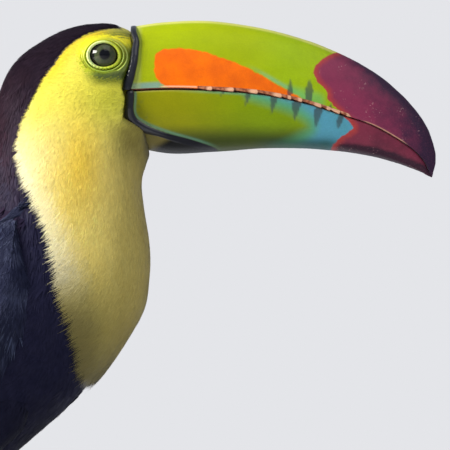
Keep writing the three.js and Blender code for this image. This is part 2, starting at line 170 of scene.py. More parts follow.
# ---- Stand base ----
# A turned disc of dark hardwood, oiled. Its top edge is rounded over on the lathe, and a shallow cove
# runs round under that. The grain runs straight across it, and the pores stay a little open.
MM = 0.001  # sizes below are in millimetres, and go into the meshes as metres


def joined_grid(rows, columns, wrap=True):
    """Quads between a grid's points. wrap joins the last column to the first."""
    row = np.arange(rows - 1)[:, None]
    column = np.arange(columns if wrap else columns - 1)[None, :]
    near, far = row * columns + column, row * columns + (column + 1) % columns
    return np.stack([near, far, far + columns, near + columns], -1).reshape(-1, 4)


def volume(points, faces):
    """The space inside a closed surface: the sum of the pyramids from the origin to its faces."""
    corners = points[np.maximum(faces, 0)]
    total = np.einsum("ij,ij->i", corners[:, 0], np.cross(corners[:, 1], corners[:, 2])).sum()
    four = corners[faces[:, 3] >= 0]
    return total + np.einsum("ij,ij->i", four[:, 0], np.cross(four[:, 2], four[:, 3])).sum()


def turned_over(faces):
    """Faces that look the other way. A triangle's spare fourth corner, -1, stays last."""
    faces = faces[:, ::-1].copy()
    three = faces[:, 0] < 0
    faces[three] = np.roll(faces[three], -1, axis=1)
    return faces


def closed(rings):
    """A stack of rings closed by a point at the middle of each end, facing outwards. Faces are rows of
    four corners, and a triangle's fourth is -1."""
    rows, columns = rings.shape[:2]
    points = np.concatenate([rings.reshape(-1, 3), rings[:1].mean(1), rings[-1:].mean(1)])
    ring = np.arange(columns)
    after, spare = (ring + 1) % columns, np.full(columns, -1)
    first = np.stack([np.full(columns, rows * columns), after, ring, spare], -1)
    start = (rows - 1) * columns
    last = np.stack([np.full(columns, rows * columns + 1), start + ring, start + after, spare], -1)
    faces = np.concatenate([joined_grid(rows, columns), first, last])
    return points, faces if volume(points, faces) >= 0 else turned_over(faces)


def build(name, points, faces, *materials):
    """Puts a surface into a new piece of that name, smooth all over."""
    mesh = bpy.data.meshes.new(name)
    sides = (faces >= 0).sum(1)
    corners = faces[faces >= 0].astype(np.int32)
    mesh.vertices.add(len(points))
    mesh.vertices.foreach_set("co", (points * MM).astype(np.float32).ravel())
    mesh.loops.add(len(corners))
    mesh.loops.foreach_set("vertex_index", corners)
    mesh.polygons.add(len(faces))
    mesh.polygons.foreach_set("loop_start", (np.cumsum(sides) - sides).astype(np.int32))
    mesh.polygons.foreach_set("use_smooth", np.ones(len(faces), bool))
    mesh.update(calc_edges=True)
    for material in materials:
        mesh.materials.append(material)
    piece = bpy.data.objects.new(name, mesh)
    bpy.context.scene.collection.objects.link(piece)
    return piece


def turned(profile, sides):
    """A profile of [radius, height] points carried round the upright axis through the origin."""
    radius, height = np.array(profile, float).T[:, :, None]
    angle = np.linspace(0, 2 * np.pi, sides, endpoint=False)[None, :]
    flat = np.broadcast_to(height, (len(profile), sides))
    return np.stack([radius * np.cos(angle), radius * np.sin(angle), flat], -1)


def step(material, value, low, high, out_low=0.0, out_high=1.0):
    """value taken smoothly from out_low at low to out_high at high."""
    values = [("Value", value), ("From Min", low), ("From Max", high)]
    values += [("To Min", out_low), ("To Max", out_high)]
    made = node(material, "ShaderNodeMapRange", values, interpolation_type="SMOOTHSTEP")
    return made.outputs["Result"]


def coats(material, shade, rows):
    """Colours laid over shade in turn. A row holds a value, the two numbers between which its colour
    comes in, the most there is of it, and the colour; or, with MULTIPLY, what it lets through."""
    for value, low, high, most, colour, *kind in rows:
        if not kind and isinstance(colour, tuple):
            colour = linear(*colour)
        shade = blend(material, step(material, value, low, high, 0, most), shade, colour, *kind)
    return shade


def bump(material, height, depth, under=None):
    """Height from 0 to 1 as a relief of depth millimetres, over another relief if one is given."""
    values = [("Height", height), ("Distance", depth * MM), ("Strength", 1.0)]
    if under is not None:
        values.append(("Normal", under))
    return node(material, "ShaderNodeBump", values).outputs["Normal"]


def finish(material, colour, relief=None, roughness=None):
    """Wires a material's colour to its shader, and its relief and roughness if it has them."""
    into_shader(material, "Base Color", colour)
    if relief is not None:
        into_shader(material, "Normal", relief)
    if roughness is not None:
        into_shader(material, "Roughness", roughness)


base_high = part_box("stand_base")[1] / MM
BASE_RADIUS, BASE_HEIGHT = base_high[0], base_high[2]
BASE_ROUND = 4.0
corner = np.radians(np.linspace(0, 90, 9))
base_profile = [[0.01, 0], [BASE_RADIUS * 0.5, 0], [BASE_RADIUS - 1.6, 0], [BASE_RADIUS - 0.5, 0.4]]
base_profile += [[BASE_RADIUS, 1.4], [BASE_RADIUS, 4.5], [BASE_RADIUS - 0.5, 5.4]]
base_profile += [[BASE_RADIUS - 1.5, 6.2], [BASE_RADIUS - 1.5, 7.2], [BASE_RADIUS - 0.5, 8.0]]
base_profile += [[BASE_RADIUS, 8.9]]
base_profile += np.stack([
    BASE_RADIUS - BASE_ROUND * (1 - np.cos(corner)),
    BASE_HEIGHT - BASE_ROUND * (1 - np.sin(corner)),
], -1).tolist()
base_profile += [[BASE_RADIUS * 0.7, BASE_HEIGHT], [BASE_RADIUS * 0.3, BASE_HEIGHT], [0.01, BASE_HEIGHT]]

oiled_wood = new_material("oiled_dark_wood", Roughness=0.38, Coat_Weight=0.25, Coat_Roughness=0.22)
along_grain = place(oiled_wood, (0.06, 1.0, 1.0))
waver = noise(oiled_wood, place(oiled_wood, (0.25, 1.0, 1.0)), 38.0, 2.0)
boards = [("Vector", along_grain), ("Scale", 0.05), ("Distortion", 3.2), ("Detail", 3.0)]
boards += [("Detail Scale", 1.4), ("Detail Roughness", 0.6)]
rings_seen = node(oiled_wood, "ShaderNodeTexWave", boards, bands_direction="Y").outputs["Fac"]
fibres = noise(oiled_wood, along_grain, 0.7, 5.0, 0.65)
pores = step(oiled_wood, noise(oiled_wood, along_grain, 0.45, 2.0), 0.62, 0.74)
wood_tone = blend(oiled_wood, rings_seen, linear(0.30, 0.185, 0.115), linear(0.44, 0.285, 0.18))
wood_tone = coats(oiled_wood, wood_tone, [
    (waver, 0.3, 0.7, 0.45, (0.23, 0.14, 0.09)),
    (fibres, 0.3, 0.7, 0.35, (0.52, 0.35, 0.22)),
    (pores, 0.0, 1.0, 0.7, (0.12, 0.07, 0.045)),
])
wood_relief = bump(oiled_wood, pores, -0.06, bump(oiled_wood, fibres, 0.05))
finish(oiled_wood, wood_tone, wood_relief, step(oiled_wood, fibres, 0.2, 0.8, 0.3, 0.48))

stand_base = build("stand_base_wood", *closed(turned(base_profile, 180)), oiled_wood)
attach(stand_base, "root")
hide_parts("stand_base")

# ---- Stand rod and ferrule ----
# A drawn steel rod, set in the base and up into the branch, with a turned collar where it meets the
# wood. Both are brushed: the rod along its length by the drawing, the collar round about on the lathe.
rod_low, rod_high = (np.array(corner_of) / MM for corner_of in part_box("stand_rod"))
collar_low, collar_high = (np.array(corner_of) / MM for corner_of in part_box("stand_ferrule"))
ROD_RADIUS = rod_high[0]
ROD_TOP = rod_high[2]
COLLAR_RADIUS, COLLAR_TOP = collar_high[0], collar_high[2]
rod_heights = np.linspace(rod_low[2], ROD_TOP, 24)
rod_profile = [[0.01, rod_low[2]], *[[ROD_RADIUS, height] for height in rod_heights], [0.01, ROD_TOP]]

steel = new_material("brushed_steel", Metallic=1.0, Roughness=0.3)
drawn = noise(steel, place(steel, (1.0, 1.0, 0.02)), 0.18, 4.0, 0.7)
hand_marks = noise(steel, place(steel), 9.0, 3.0)
finish(steel, blend(steel, drawn, linear(0.62, 0.62, 0.63), linear(0.80, 0.80, 0.81)),
       bump(steel, drawn, 0.02), step(steel, hand_marks, 0.3, 0.7, 0.24, 0.4))
stand_rod = build("stand_rod_steel", *closed(turned(rod_profile, 64)), steel)
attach(stand_rod, "root")
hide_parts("stand_rod")

bore, height = ROD_RADIUS + 0.2, COLLAR_TOP - collar_low[2]
collar_profile = [
    [bore, 0], [COLLAR_RADIUS - 0.3, 0], [COLLAR_RADIUS, 0.3], [COLLAR_RADIUS, height * 0.4],
    [COLLAR_RADIUS - 0.3, height * 0.5], [COLLAR_RADIUS - 1.3, height * 0.62], [bore + 1.5, height * 0.85],
    [bore + 1.2, height - 0.3], [bore + 0.8, height], [bore + 0.2, height], [bore, height - 0.2],
]
COLLAR_SIDES = 72
collar_rings = turned(collar_profile, COLLAR_SIDES) + [0, 0, collar_low[2]]
turned_steel = new_material("turned_steel", Metallic=1.0, Roughness=0.26)
lathe_lines = noise(turned_steel, place(turned_steel, (0.03, 0.03, 1.0)), 0.12, 3.0, 0.7)
turned_tones = (linear(0.66, 0.66, 0.67), linear(0.82, 0.82, 0.83))
finish(turned_steel, blend(turned_steel, lathe_lines, *turned_tones), bump(turned_steel, lathe_lines, 0.02))
collar_points = collar_rings.reshape(-1, 3)
seam_row = len(collar_profile) - 1
collar_seam = joined_grid(2, COLLAR_SIDES) % COLLAR_SIDES
collar_seam += COLLAR_SIDES * np.array([seam_row, seam_row, 0, 0])
collar_faces = np.concatenate([joined_grid(len(collar_profile), COLLAR_SIDES), collar_seam])
if volume(collar_points, collar_faces) < 0:
    collar_faces = collar_faces[:, ::-1]
stand_collar = build("stand_collar_steel", collar_points, collar_faces, turned_steel)
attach(stand_collar, "root")
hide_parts("stand_ferrule")

# ---- Perch ----
# A short length of thin-barked branch, sawn off at both ends. The bark is drawn up in long shallow
# folds and cracks, with a few old twig scars, and the sawn ends show pale wood in yearly rings.
perch_low, perch_high = (np.array(corner_of) / MM for corner_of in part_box("perch"))
PERCH_RADIUS = 15.0
PERCH_TOP = 162.0
PERCH_LENGTH = perch_high[1] - perch_low[1]
PERCH_MIDDLE = np.array([0, 0, PERCH_TOP - PERCH_RADIUS])


def lumps(points, size, seed):
    """Smooth random relief from -1 to 1: the mean of twelve waves in random directions, each about
    size millimetres long."""
    draw = np.random.default_rng(seed)
    ways = draw.normal(size=(12, 3))
    ways *= (2 * np.pi / size / np.linalg.norm(ways, axis=1) * draw.uniform(0.6, 1.5, 12))[:, None]
    shift = draw.uniform(0, 2 * np.pi, 12)
    return np.sin(points @ ways.T + shift).sum(-1) / 4.2


def branch(t, angle, grow=0.0):
    """A point on the branch: t runs along it and angle round it. It droops and thickens towards its
    ends by the fourth power of the distance from the middle."""
    off = (2 * t - 1) ** 4
    radius = PERCH_RADIUS + 1.2 * off + grow
    middle = np.stack([0 * t, PERCH_LENGTH * (t - 0.5), -3.0 * off], -1) + PERCH_MIDDLE
    round_about = np.stack([np.cos(angle), 0 * angle, np.sin(angle)], -1)
    return middle + round_about * radius[..., None]


perch_t = np.concatenate([[0, 0.004], np.linspace(0.008, 0.992, 220), [0.996, 1.0]])
perch_t, perch_angle = np.meshgrid(perch_t, np.linspace(0, 2 * np.pi, 180, endpoint=False), indexing="ij")
bark_at = branch(perch_t, perch_angle)
long_ways = bark_at * [1.0, 0.16, 1.0]
bark_relief = 0.30 * lumps(long_ways, 9.0, 3) + 0.22 * lumps(long_ways, 3.6, 4) - 0.28
bark_relief -= 0.45 * np.clip(lumps(long_ways, 5.0, 5) - 0.35, 0, 1)
bark_relief += 0.12 * lumps(bark_at * [1, 0.5, 1], 1.9, 6)
for scar_t, scar_angle in ((0.17, 2.1), (0.9, 0.7), (0.29, 4.4), (0.73, 5.2), (0.58, 3.5)):
    away = np.hypot((perch_t - scar_t) * PERCH_LENGTH, (perch_angle - scar_angle) * PERCH_RADIUS) / 4.2
    bark_relief += 0.9 * np.exp(-((away - 0.9) ** 2) * 9) - 0.5 * np.exp(-((away * 1.8) ** 2))
sawn = np.clip(np.minimum(perch_t, 1 - perch_t) / 0.008, 0, 1)
bark_rings = branch(perch_t, perch_angle, np.clip(bark_relief, -1.1, 0.55) * sawn - 1.0 * (1 - sawn))
perch_points, perch_faces = closed(bark_rings)

bark = new_material("thin_bark", Roughness=0.86)
bark_ways = place(bark, (1.0, 0.22, 1.0))
plates, specks = noise(bark, bark_ways, 7.0, 6.0, 0.62), noise(bark, place(bark), 1.1, 4.0, 0.6)
cracks = noise(bark, place(bark, (1.0, 0.12, 1.0)), 1.6, 6.0, 0.7, 0.8)
bark_tone = blend(bark, step(bark, plates, 0.32, 0.68), linear(0.37, 0.32, 0.30), linear(0.60, 0.55, 0.52))
bark_tone = coats(bark, bark_tone, [
    (cracks, 0.52, 0.7, 0.8, (0.24, 0.20, 0.185)),
    (specks, 0.60, 0.75, 0.7, (0.70, 0.68, 0.64)),
])
lichen = step(bark, noise(bark, place(bark), 22.0, 5.0, 0.6), 0.60, 0.68, 0, 0.55)
bark_tone = blend(bark, lichen, bark_tone, linear(0.62, 0.66, 0.56))
finish(bark, bark_tone, bump(bark, cracks, -0.35, bump(bark, specks, 0.16)))

sawn_wood = new_material("sawn_wood", Roughness=0.7)
from_pith = node(sawn_wood, "ShaderNodeMapping", [
    ("Vector", node(sawn_wood, "ShaderNodeTexCoord").outputs["Object"]),
    ("Location", (0.6, 0.0, 3.4 - PERCH_MIDDLE[2])), ("Scale", (1000.0, 0.0, 1000.0)),
]).outputs[0]
year_rings = node(sawn_wood, "ShaderNodeTexWave", [
    ("Vector", from_pith), ("Scale", 0.27), ("Distortion", 0.9), ("Detail", 2.0), ("Detail Scale", 0.6),
], wave_type="RINGS", rings_direction="Y").outputs["Fac"]
saw_marks = noise(sawn_wood, place(sawn_wood, (0.1, 1.0, 1.0)), 0.5, 3.0, 0.6)
sawn_tone = blend(sawn_wood, year_rings, linear(0.60, 0.46, 0.31), linear(0.78, 0.66, 0.48))
sawn_tone = coats(sawn_wood, sawn_tone, [(saw_marks, 0.4, 0.7, 0.35, (0.45, 0.34, 0.23))])
finish(sawn_wood, sawn_tone, bump(sawn_wood, saw_marks, 0.08))

perch = build("perch_branch", perch_points, perch_faces, bark, sawn_wood)
at_end = np.abs(perch_points[np.maximum(perch_faces, 0), 1]).min(1) > PERCH_LENGTH / 2 - 0.02
perch.data.polygons.foreach_set("material_index", at_end.astype(np.int32))
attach(perch, "root")
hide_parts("perch")

# ---- Skin ----
# One hide from the bill's root to the vent, with the thighs and the arms of the wings. It lies under
# the feathers by the depth of the coat, and is bare round the eye, where it is folded and finely warty.
EYE = np.array([-15.0, 14.2, 15.7])  # the left eyeball's middle, from the gape
EYE_RADIUS = 7.6
eye_low, eye_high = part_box("eye_left")
GAPE = np.array((eye_low + eye_high) / 2) / MM - EYE  # the bird is drawn from the corner of its mouth
BODY_BACK = [
    [0, 28.5], [-12, 32.6], [-28, 31.2], [-44, 24], [-57.5, 12.4], [-65.5, -8], [-71, -34],
    [-79, -64], [-91, -98], [-103.5, -130], [-113, -157], [-120, -178], [-126, -196],
]
BODY_BELLY = [
    [2, -20], [5.5, -26], [4.2, -31.5], [2.2, -40], [3.6, -53], [6.1, -69], [5.9, -84],
    [1.9, -101.3], [-17.1, -129.2], [-48, -156.6], [-79, -184], [-102, -199], [-117, -209],
]
BODY_RUN = [-84, -204]  # how the feathers run on past the body's end, over the tail, for each 1 of t
BODY_HALF_WIDTH = [16.4, 20.2, 23.6, 26, 27.8, 30.5, 34.5, 38, 38.6, 34.5, 26, 17, 10]
BODY_LOW = [0.1, 0.16, 0.14, 0.1, 0.06, 0.02, 0, -0.02, -0.04, -0.04, 0, 0, 0]
BIB_EDGE = [15, 21, 28, 34.5, 41, 49, 52, 52, 48.5, 51, 72, 87.5, 104, 137, 176]  # at each 0.05 of t
BIB_END = 0.680
FOREHEAD = -7.0  # how far forward the black crown comes
FACE_MIDDLE = (-14.0, 15.2)  # of the bare face's oval, seen from the side
FACE_BEHIND, FACE_BEFORE, FACE_BELOW, FACE_ABOVE = 12.3, 40, 11.8, 10.9  # its reach from there
BILL_RIM_HEIGHT = [-29, -22.3, -18.9, -15.2, -5, 0, 4.5, 13.6, 20.5, 26.4, 45]
BILL_RIM = [26, 17, 3.6, -5.8, -5, -6.6, -5.8, -2.7, -1.8, -2.7, -3.6]
LID_MIDDLE = np.array([-14.7, 15.15])
LID_OPENING = np.array([6.05, 5.1])  # half-length and half-height of the eye's opening
LID_PATCH = 2.15  # the lids and folds reach out to this many openings


def spline(values, t, run_on=False):
    """A smooth line through evenly spaced values, at t from 0 to 1: each stretch is the cubic whose
    slope at each value is half the difference of its neighbours. run_on carries the ends straight on."""
    knots = np.array(values, float)
    if run_on:
        knots = np.concatenate([2 * knots[:1] - knots[1:2], knots, 2 * knots[-1:] - knots[-2:-1]])
    else:
        knots = np.concatenate([knots[:1], knots, knots[-1:]])
    along = np.clip(t, 0, 1) * (len(values) - 1)
    first = np.minimum(along.astype(int), len(values) - 2)
    share = along - first
    if knots.ndim == 2:
        share = share[..., None]
    a, b, c, d = (knots[first + k] for k in range(4))
    cubic = (3 * b - a - 3 * c + d) * share ** 3 + (2 * a - 5 * b + 4 * c - d) * share ** 2
    return (cubic + (c - a) * share + 2 * b) / 2


def smooth(value, low, high):
    """0 below low, 1 above high, and a smooth rise between."""
    share = np.clip((value - low) / (high - low), 0, 1)
    return share * share * (3 - 2 * share)


def bell(value, middle, width):
    """1 at the middle, and less on both sides: e to the minus square of the widths away from it."""
    return np.exp(-(((value - middle) / width) ** 2))


def alike(*values):
    """Values as arrays of numbers of one shape."""
    return np.broadcast_arrays(*(np.asarray(value, float) for value in values))


def from_side(flat, across):
    """Points whose x and z are those of places seen from the side, and whose y is across."""
    return np.stack([flat[..., 0], across, flat[..., 1]], -1)


def body_point(t, angle, depth=0.0):
    """A point of the body, from the gape: t runs from the bill's root to the end of the tail coverts,
    and angle goes round from the back, left positive. Each section is an oval between the back and
    belly lines, and depth lies in from it."""
    t, angle = alike(t, angle)
    belly = spline(BODY_BELLY, t, True)
    up = spline(BODY_BACK, t, True) - belly
    tall = np.linalg.norm(up, axis=-1)
    flat = belly + up / 2 + up / tall[..., None] * ((tall / 2 - depth) * np.cos(angle))[..., None]
    flat += np.maximum(t - 1, 0)[..., None] * BODY_RUN
    width = spline(BODY_HALF_WIDTH, t) - depth
    side = width * np.sin(angle) * (1 - spline(BODY_LOW, t) * np.cos(angle))
    return from_side(flat, side)


def from_back(angle):
    """How far round from the back's middle line a place lies, on either side."""
    return np.abs((angle + np.pi) % (2 * np.pi) - np.pi)


def behind_rim(where):
    """How far behind the bill's root places lie, in millimetres."""
    return np.interp(where[..., 2], BILL_RIM_HEIGHT, BILL_RIM) - where[..., 0]


def skin_depth(t, angle):
    """How far the skin lies under the tips of the coat: almost nothing on the bare face, then deeper
    down the throat and back. It rolls in where it meets the bill."""
    around = from_back(angle)
    depth = 0.15 + 1.1 * smooth(t, 0.16, 0.34) + 1.9 * smooth(t, 0.55, 0.8)
    depth += 0.8 * smooth(around, 1.9, 2.7) * smooth(-t, -0.3, -0.2) + 0.6 * smooth(-around, -0.55, -0.35)
    to_rim = behind_rim(body_point(t, angle))
    return depth + 7.0 * (1 - smooth(to_rim, -0.7, 0.5)) + 2.0 * (1 - smooth(to_rim, -6, -1))


def skin_point(t, angle):
    """A point of the skin: the body's, its own depth in."""
    return body_point(t, angle, skin_depth(t, angle))


def body_map(t, angle):
    """Where places of the body lie on its unwrap: round it across the map, and along it up the map."""
    return np.stack([0.5 + 0.98 * angle / (2 * np.pi), 0.01 + 0.98 * t], -1)


def bib_depth(t, angle):
    """How far inside the yellow bib's edge a place lies, in millimetres, below 0 outside it."""
    around = from_back(angle)
    steps = np.linspace(0, 0.05 * (len(BIB_EDGE) - 1), len(BIB_EDGE))
    edge = np.radians(spline(BIB_EDGE, t / steps[-1]))
    inside = np.minimum((around - edge) * spline(BODY_HALF_WIDTH, t), (BIB_END - t) * 270)
    where = body_point(t, angle)
    return np.where(t < 0.1, np.maximum(inside, where[..., 0] - FOREHEAD), inside)


def tone(share, first, second):
    """Colours on the way from first to second."""
    share = np.asarray(share)[..., None]
    return first * (1 - share) + second * share


def painted(colour, rows):
    """Colours laid over one another in turn: a row holds how much of its colour there is at each
    place, and the colour as it shows on a screen. The first may be one as it shows, too."""
    if isinstance(colour, tuple):
        colour = linear(*colour)
    for share, laid in rows:
        colour = tone(share, colour, linear(*laid))
    return colour


def off_face(x, z, above):
    """How far places lie from the bare face's middle, in reaches of its oval. above is its reach up."""
    across, up = x - FACE_MIDDLE[0], z - FACE_MIDDLE[1]
    across = across / np.where(across < 0, FACE_BEHIND, FACE_BEFORE)
    return np.hypot(across, up / np.where(up < 0, FACE_BELOW, above))


def plumage(t, angle):
    """The colour of the feathers rooted at each place: yellow bib, black elsewhere, a brown-red
    tinge on the nape, white over the tail's root and red under it. Painted light and shade lie in it
    too: the bib's edge is partly painted paler, its lower rear and the feathers under the bill are
    painted darker as shade, and the black is painted bluer lower down as sheen."""
    where = body_point(t, angle)
    x, z = where[..., 0], where[..., 2]
    around = from_back(angle)
    inside = bib_depth(t, angle)
    # The bib's edge is paler: the feathers' white bases show there, and painted light adds to it.
    pale_and_lit_edge = smooth(-inside, -22, -1) * smooth(-z, 8, 40) * (1 - 0.85 * smooth(-z, 80, 98))
    golden = bell(x, -24, 9) * bell(z, -33, 22)
    olive = bell(x, -10, 13) * bell(z, -5, 11)
    from_face = off_face(x, z, FACE_BELOW)
    # Painted shade: the feathers just under the bill's root, which lie in its shadow.
    shade_under_bill = smooth(x, -14, -2) * smooth(-z, 13, 18) * (1 - 0.6 * smooth(-z, 22, 36))
    yellow = painted((0.98, 0.90, 0.50), [
        (smooth(z, -40, 5), (0.945, 0.92, 0.36)),
        (pale_and_lit_edge, (0.99, 0.965, 0.82)),
        (0.70 * golden, (0.99, 0.84, 0.20)),
        (0.55 * olive, (0.74, 0.76, 0.06)),
        (0.85 * smooth(-from_face, -1.35, -0.95) * smooth(x, -26, -15), (0.42, 0.47, 0.04)),
        (0.65 * smooth(-inside, -8, -2) * smooth(z, -4, 8) * smooth(-x, 8, 18), (0.98, 0.85, 0.08)),
        # Painted shade: the lower bib is dulled to olive towards its bottom, and darkened more on its lower
        # rear, where a shadow falls.
        (0.30 * smooth(-z, 75, 122), (0.62, 0.58, 0.20)),
        (0.78 * smooth(-z, 66, 108) * smooth(-x, -6, 20), (0.33, 0.30, 0.15)),
        # Painted shade: the feathers below the bill's root are dulled to brown-olive, on the shaded side of
        # the cheek, and those right under the bill darker still.
        (0.25 * smooth(x, -20, 5) * smooth(-z, 15, 35), (0.72, 0.64, 0.28)),
        (0.7 * shade_under_bill, (0.38, 0.33, 0.16)),
    ])
    nape = bell(z, -25, 38) * smooth(-around, -1.5, -0.2)
    black = painted((0.13, 0.105, 0.145), [
        # Painted sheen: the black turns bluer lower down, standing for the blue sheen of sky light on it.
        (smooth(-z, -10, 55), (0.125, 0.122, 0.20)),
        (0.8 * nape, (0.21, 0.08, 0.105)),
        (smooth(t, 0.865, 0.885) * smooth(-around, -1.45, -1.3), (0.80, 0.79, 0.75)),
        (smooth(t, 0.845, 0.865) * smooth(around, 1.55, 1.75), (0.62, 0.05, 0.04)),
    ])
    return tone(smooth(inside, 0.2, 1.6), black, yellow)


def on_flank(x, z, rounds=25):
    """The place (t, angle) on the left flank of the body that shows at x, z from the side, by Newton's
    steps from near the eye."""
    t, angle = np.full(x.shape, 0.13), np.full(x.shape, 1.1)
    little = 1e-4
    for _ in range(rounds):
        at = body_point(t, angle)[..., [0, 2]]
        by_t = (body_point(t + little, angle)[..., [0, 2]] - at) / little
        by_angle = (body_point(t, angle + little)[..., [0, 2]] - at) / little
        miss_x, miss_z = at[..., 0] - x, at[..., 1] - z
        area = by_t[..., 0] * by_angle[..., 1] - by_angle[..., 0] * by_t[..., 1]
        t = t - np.clip((miss_x * by_angle[..., 1] - miss_z * by_angle[..., 0]) / area, -0.03, 0.03)
        angle = angle - np.clip((miss_z * by_t[..., 0] - miss_x * by_t[..., 1]) / area, -0.15, 0.15)
    return t, angle


def face_skin(x, z):
    """The colour of the bare face seen from the side: lime round the eye, yellow above and behind,
    olive in front and below."""
    across, up = x - LID_MIDDLE[0], z - LID_MIDDLE[1]
    away = np.hypot(across / LID_OPENING[0], up / LID_OPENING[1])
    skin = painted((0.70, 0.76, 0.06), [
        (smooth(up - 0.5 * across, -9, 4), (0.95, 0.91, 0.10)),
        (0.85 * smooth(across - 0.9 * up, 2.5, 10.5), (0.34, 0.40, 0.07)),
        (0.94 * bell(up, -9.3, 3.0) * smooth(across, -9, -2), (0.25, 0.31, 0.03)),
        (0.5 * smooth(-across, 6, 10) * smooth(-up, -4, 4), (0.62, 0.70, 0.12)),
        (0.55 * smooth(up, 7, 12) * smooth(across, -2, 8), (0.80, 0.72, 0.16)),
    ])
    return tone(0.7 * bell(away, 1.25, 0.4), skin, linear(0.66, 0.76, 0.14))


def lid_height(x, z, share, turn):
    """How far out the lids and folds stand at share openings from the eye's middle, in direction turn.
    The lid is a half-round roll on the eyeball; outside its groove the folds die away into the face."""
    flank_t, flank_angle = on_flank(x, z)
    face = skin_point(flank_t, flank_angle)[..., 1]
    rim_x, rim_z = (LID_MIDDLE + LID_OPENING * np.stack([np.cos(turn), np.sin(turn)], -1)).T
    rim_off = np.hypot(rim_x - EYE[0], rim_z - EYE[2])
    on_ball = EYE[1] + np.sqrt(EYE_RADIUS ** 2 - rim_off ** 2)
    roll = np.clip((share - 1) / 0.31, 0, 1)
    lid = on_ball - 0.45 + 1.25 * np.sin(np.pi * roll) ** 0.6 + 0.15 * roll
    out = tone(smooth(share, 1.22, 1.95), lid[..., None], face[..., None])[..., 0]
    front = smooth(np.cos(turn - 0.1), 0.15, 0.75)
    below = smooth(-np.sin(turn + 0.25), 0.35, 0.85)
    behind = smooth(-np.cos(turn), 0.2, 0.9)
    out -= 0.50 * bell(share, 1.345, 0.05)
    out += (0.35 + 0.45 * front) * bell(share, 1.47, 0.055)
    out -= 0.40 * front * bell(share, 1.60, 0.04)
    out += 0.50 * front * bell(share, 1.74, 0.06)
    out += 0.30 * below * bell(share, 1.43, 0.035)
    out += 0.12 * behind * np.cos((share - 1.4) * 34) * smooth(-share, -2.0, -1.5)
    bumps = bell(share, 1.2, 0.07) * np.clip(np.cos(turn * 26), 0, 1) ** 2
    return out + 0.38 * below * bumps


BODY_ROWS, BODY_COLUMNS = 190, 168
ROWS_TOWARDS_BILL = 1.4  # how much closer the rows lie at the bill
body_t = np.linspace(0, 1, BODY_ROWS) ** ROWS_TOWARDS_BILL
body_angle = np.linspace(-np.pi, np.pi, BODY_COLUMNS, endpoint=False)
t_grid, angle_grid = np.meshgrid(body_t, body_angle, indexing="ij")
hide_points, hide_faces = closed(skin_point(t_grid, angle_grid))
hide_t = np.concatenate([t_grid.ravel(), [0, 1]])
hide_angle = np.concatenate([angle_grid.ravel(), [0, 0]])
hide_colour = plumage(hide_t, hide_angle)
from_eye = (hide_points[:, [0, 2]] - LID_MIDDLE) / LID_OPENING
bare = smooth(-np.hypot(from_eye[:, 0] - 0.15, from_eye[:, 1]), -3.0, -2.3)
bare *= bib_depth(hide_t, hide_angle) > 0
hide_colour = tone(bare, hide_colour * 0.8, face_skin(hide_points[:, 0], hide_points[:, 2]))
hide_uv = body_map(hide_t, hide_angle)
face_middles = hide_points[np.maximum(hide_faces, 0)].mean(1)
to_lids = np.hypot(*((face_middles[:, [0, 2]] - LID_MIDDLE) / LID_OPENING).T)
hide_faces = hide_faces[(to_lids > 1.75) | (np.abs(face_middles[:, 1]) < 4)]

LID_SPOKES = 168
lid_rings = np.concatenate([np.linspace(1, 1.9, 84), np.linspace(1.91, LID_PATCH, 12)])
lid_spokes = np.linspace(0, 2 * np.pi, LID_SPOKES, endpoint=False)
ring_at, turn_at = (grid.ravel() for grid in np.meshgrid(lid_rings, lid_spokes, indexing="ij"))
lid_x = LID_MIDDLE[0] + LID_OPENING[0] * ring_at * np.cos(turn_at)
lid_z = LID_MIDDLE[1] + LID_OPENING[1] * ring_at * np.sin(turn_at)
lid_points = np.stack([lid_x, lid_height(lid_x, lid_z, ring_at, turn_at), lid_z], -1)
warts = lumps(lid_points, 1.5, 11) * 0.07 + lumps(lid_points, 0.8, 12) * 0.035
lid_points[:, 1] += warts * smooth(ring_at, 1.35, 1.5)
lid_points[:, 1] -= 0.5 * smooth(ring_at, LID_PATCH - 0.03, LID_PATCH) - 0.06
lid_t, lid_angle = on_flank(lid_x, lid_z)

# Painted light: the lid roll is paler on its rear side, towards the lamp, and its groove is less dark there.
lamp_side = smooth(-np.cos(turn_at + 0.3), -0.4, 0.7)
lid_pale_and_lit = tone(lamp_side, linear(0.80, 0.86, 0.24), linear(0.90, 0.97, 0.64))
in_front = smooth(np.cos(turn_at - 0.1), 0.15, 0.75)
crest = bell(ring_at, 1.47, 0.05) + bell(ring_at, 1.74, 0.05)
under_eye = smooth(-np.sin(turn_at + 0.25), 0.35, 0.85)
lower_fold = bell(ring_at, 1.44, 0.035)
# Painted shade: the grooves round the lid and in front of it are darkened.
groove = bell(ring_at, 1.345, 0.04) + 0.7 * in_front * bell(ring_at, 1.6, 0.04)
dots = bell(ring_at, 1.27, 0.035) * np.clip(np.cos(turn_at * 33), 0, 1)
lid_colour = face_skin(lid_x, lid_z)
lid_colour = tone(smooth(-np.abs(ring_at - 1.15), -0.17, -0.11), lid_colour, lid_pale_and_lit)
lid_colour = painted(lid_colour, [
    (0.9 * in_front * np.clip(crest, 0, 1), (0.84, 0.92, 0.48)),
    (0.7 * under_eye * lower_fold, (0.78, 0.92, 0.42)),
    ((0.75 - 0.4 * lamp_side) * np.clip(groove, 0, 1), (0.46, 0.42, 0.01)),
    (0.85 * under_eye * dots, (0.16, 0.15, 0.05)),
    (smooth(-ring_at, -1.06, -1.015), (0.10, 0.09, 0.05)),
])
lid_faces = joined_grid(len(lid_rings), LID_SPOKES)
lid_uv = body_map(lid_t, lid_angle)

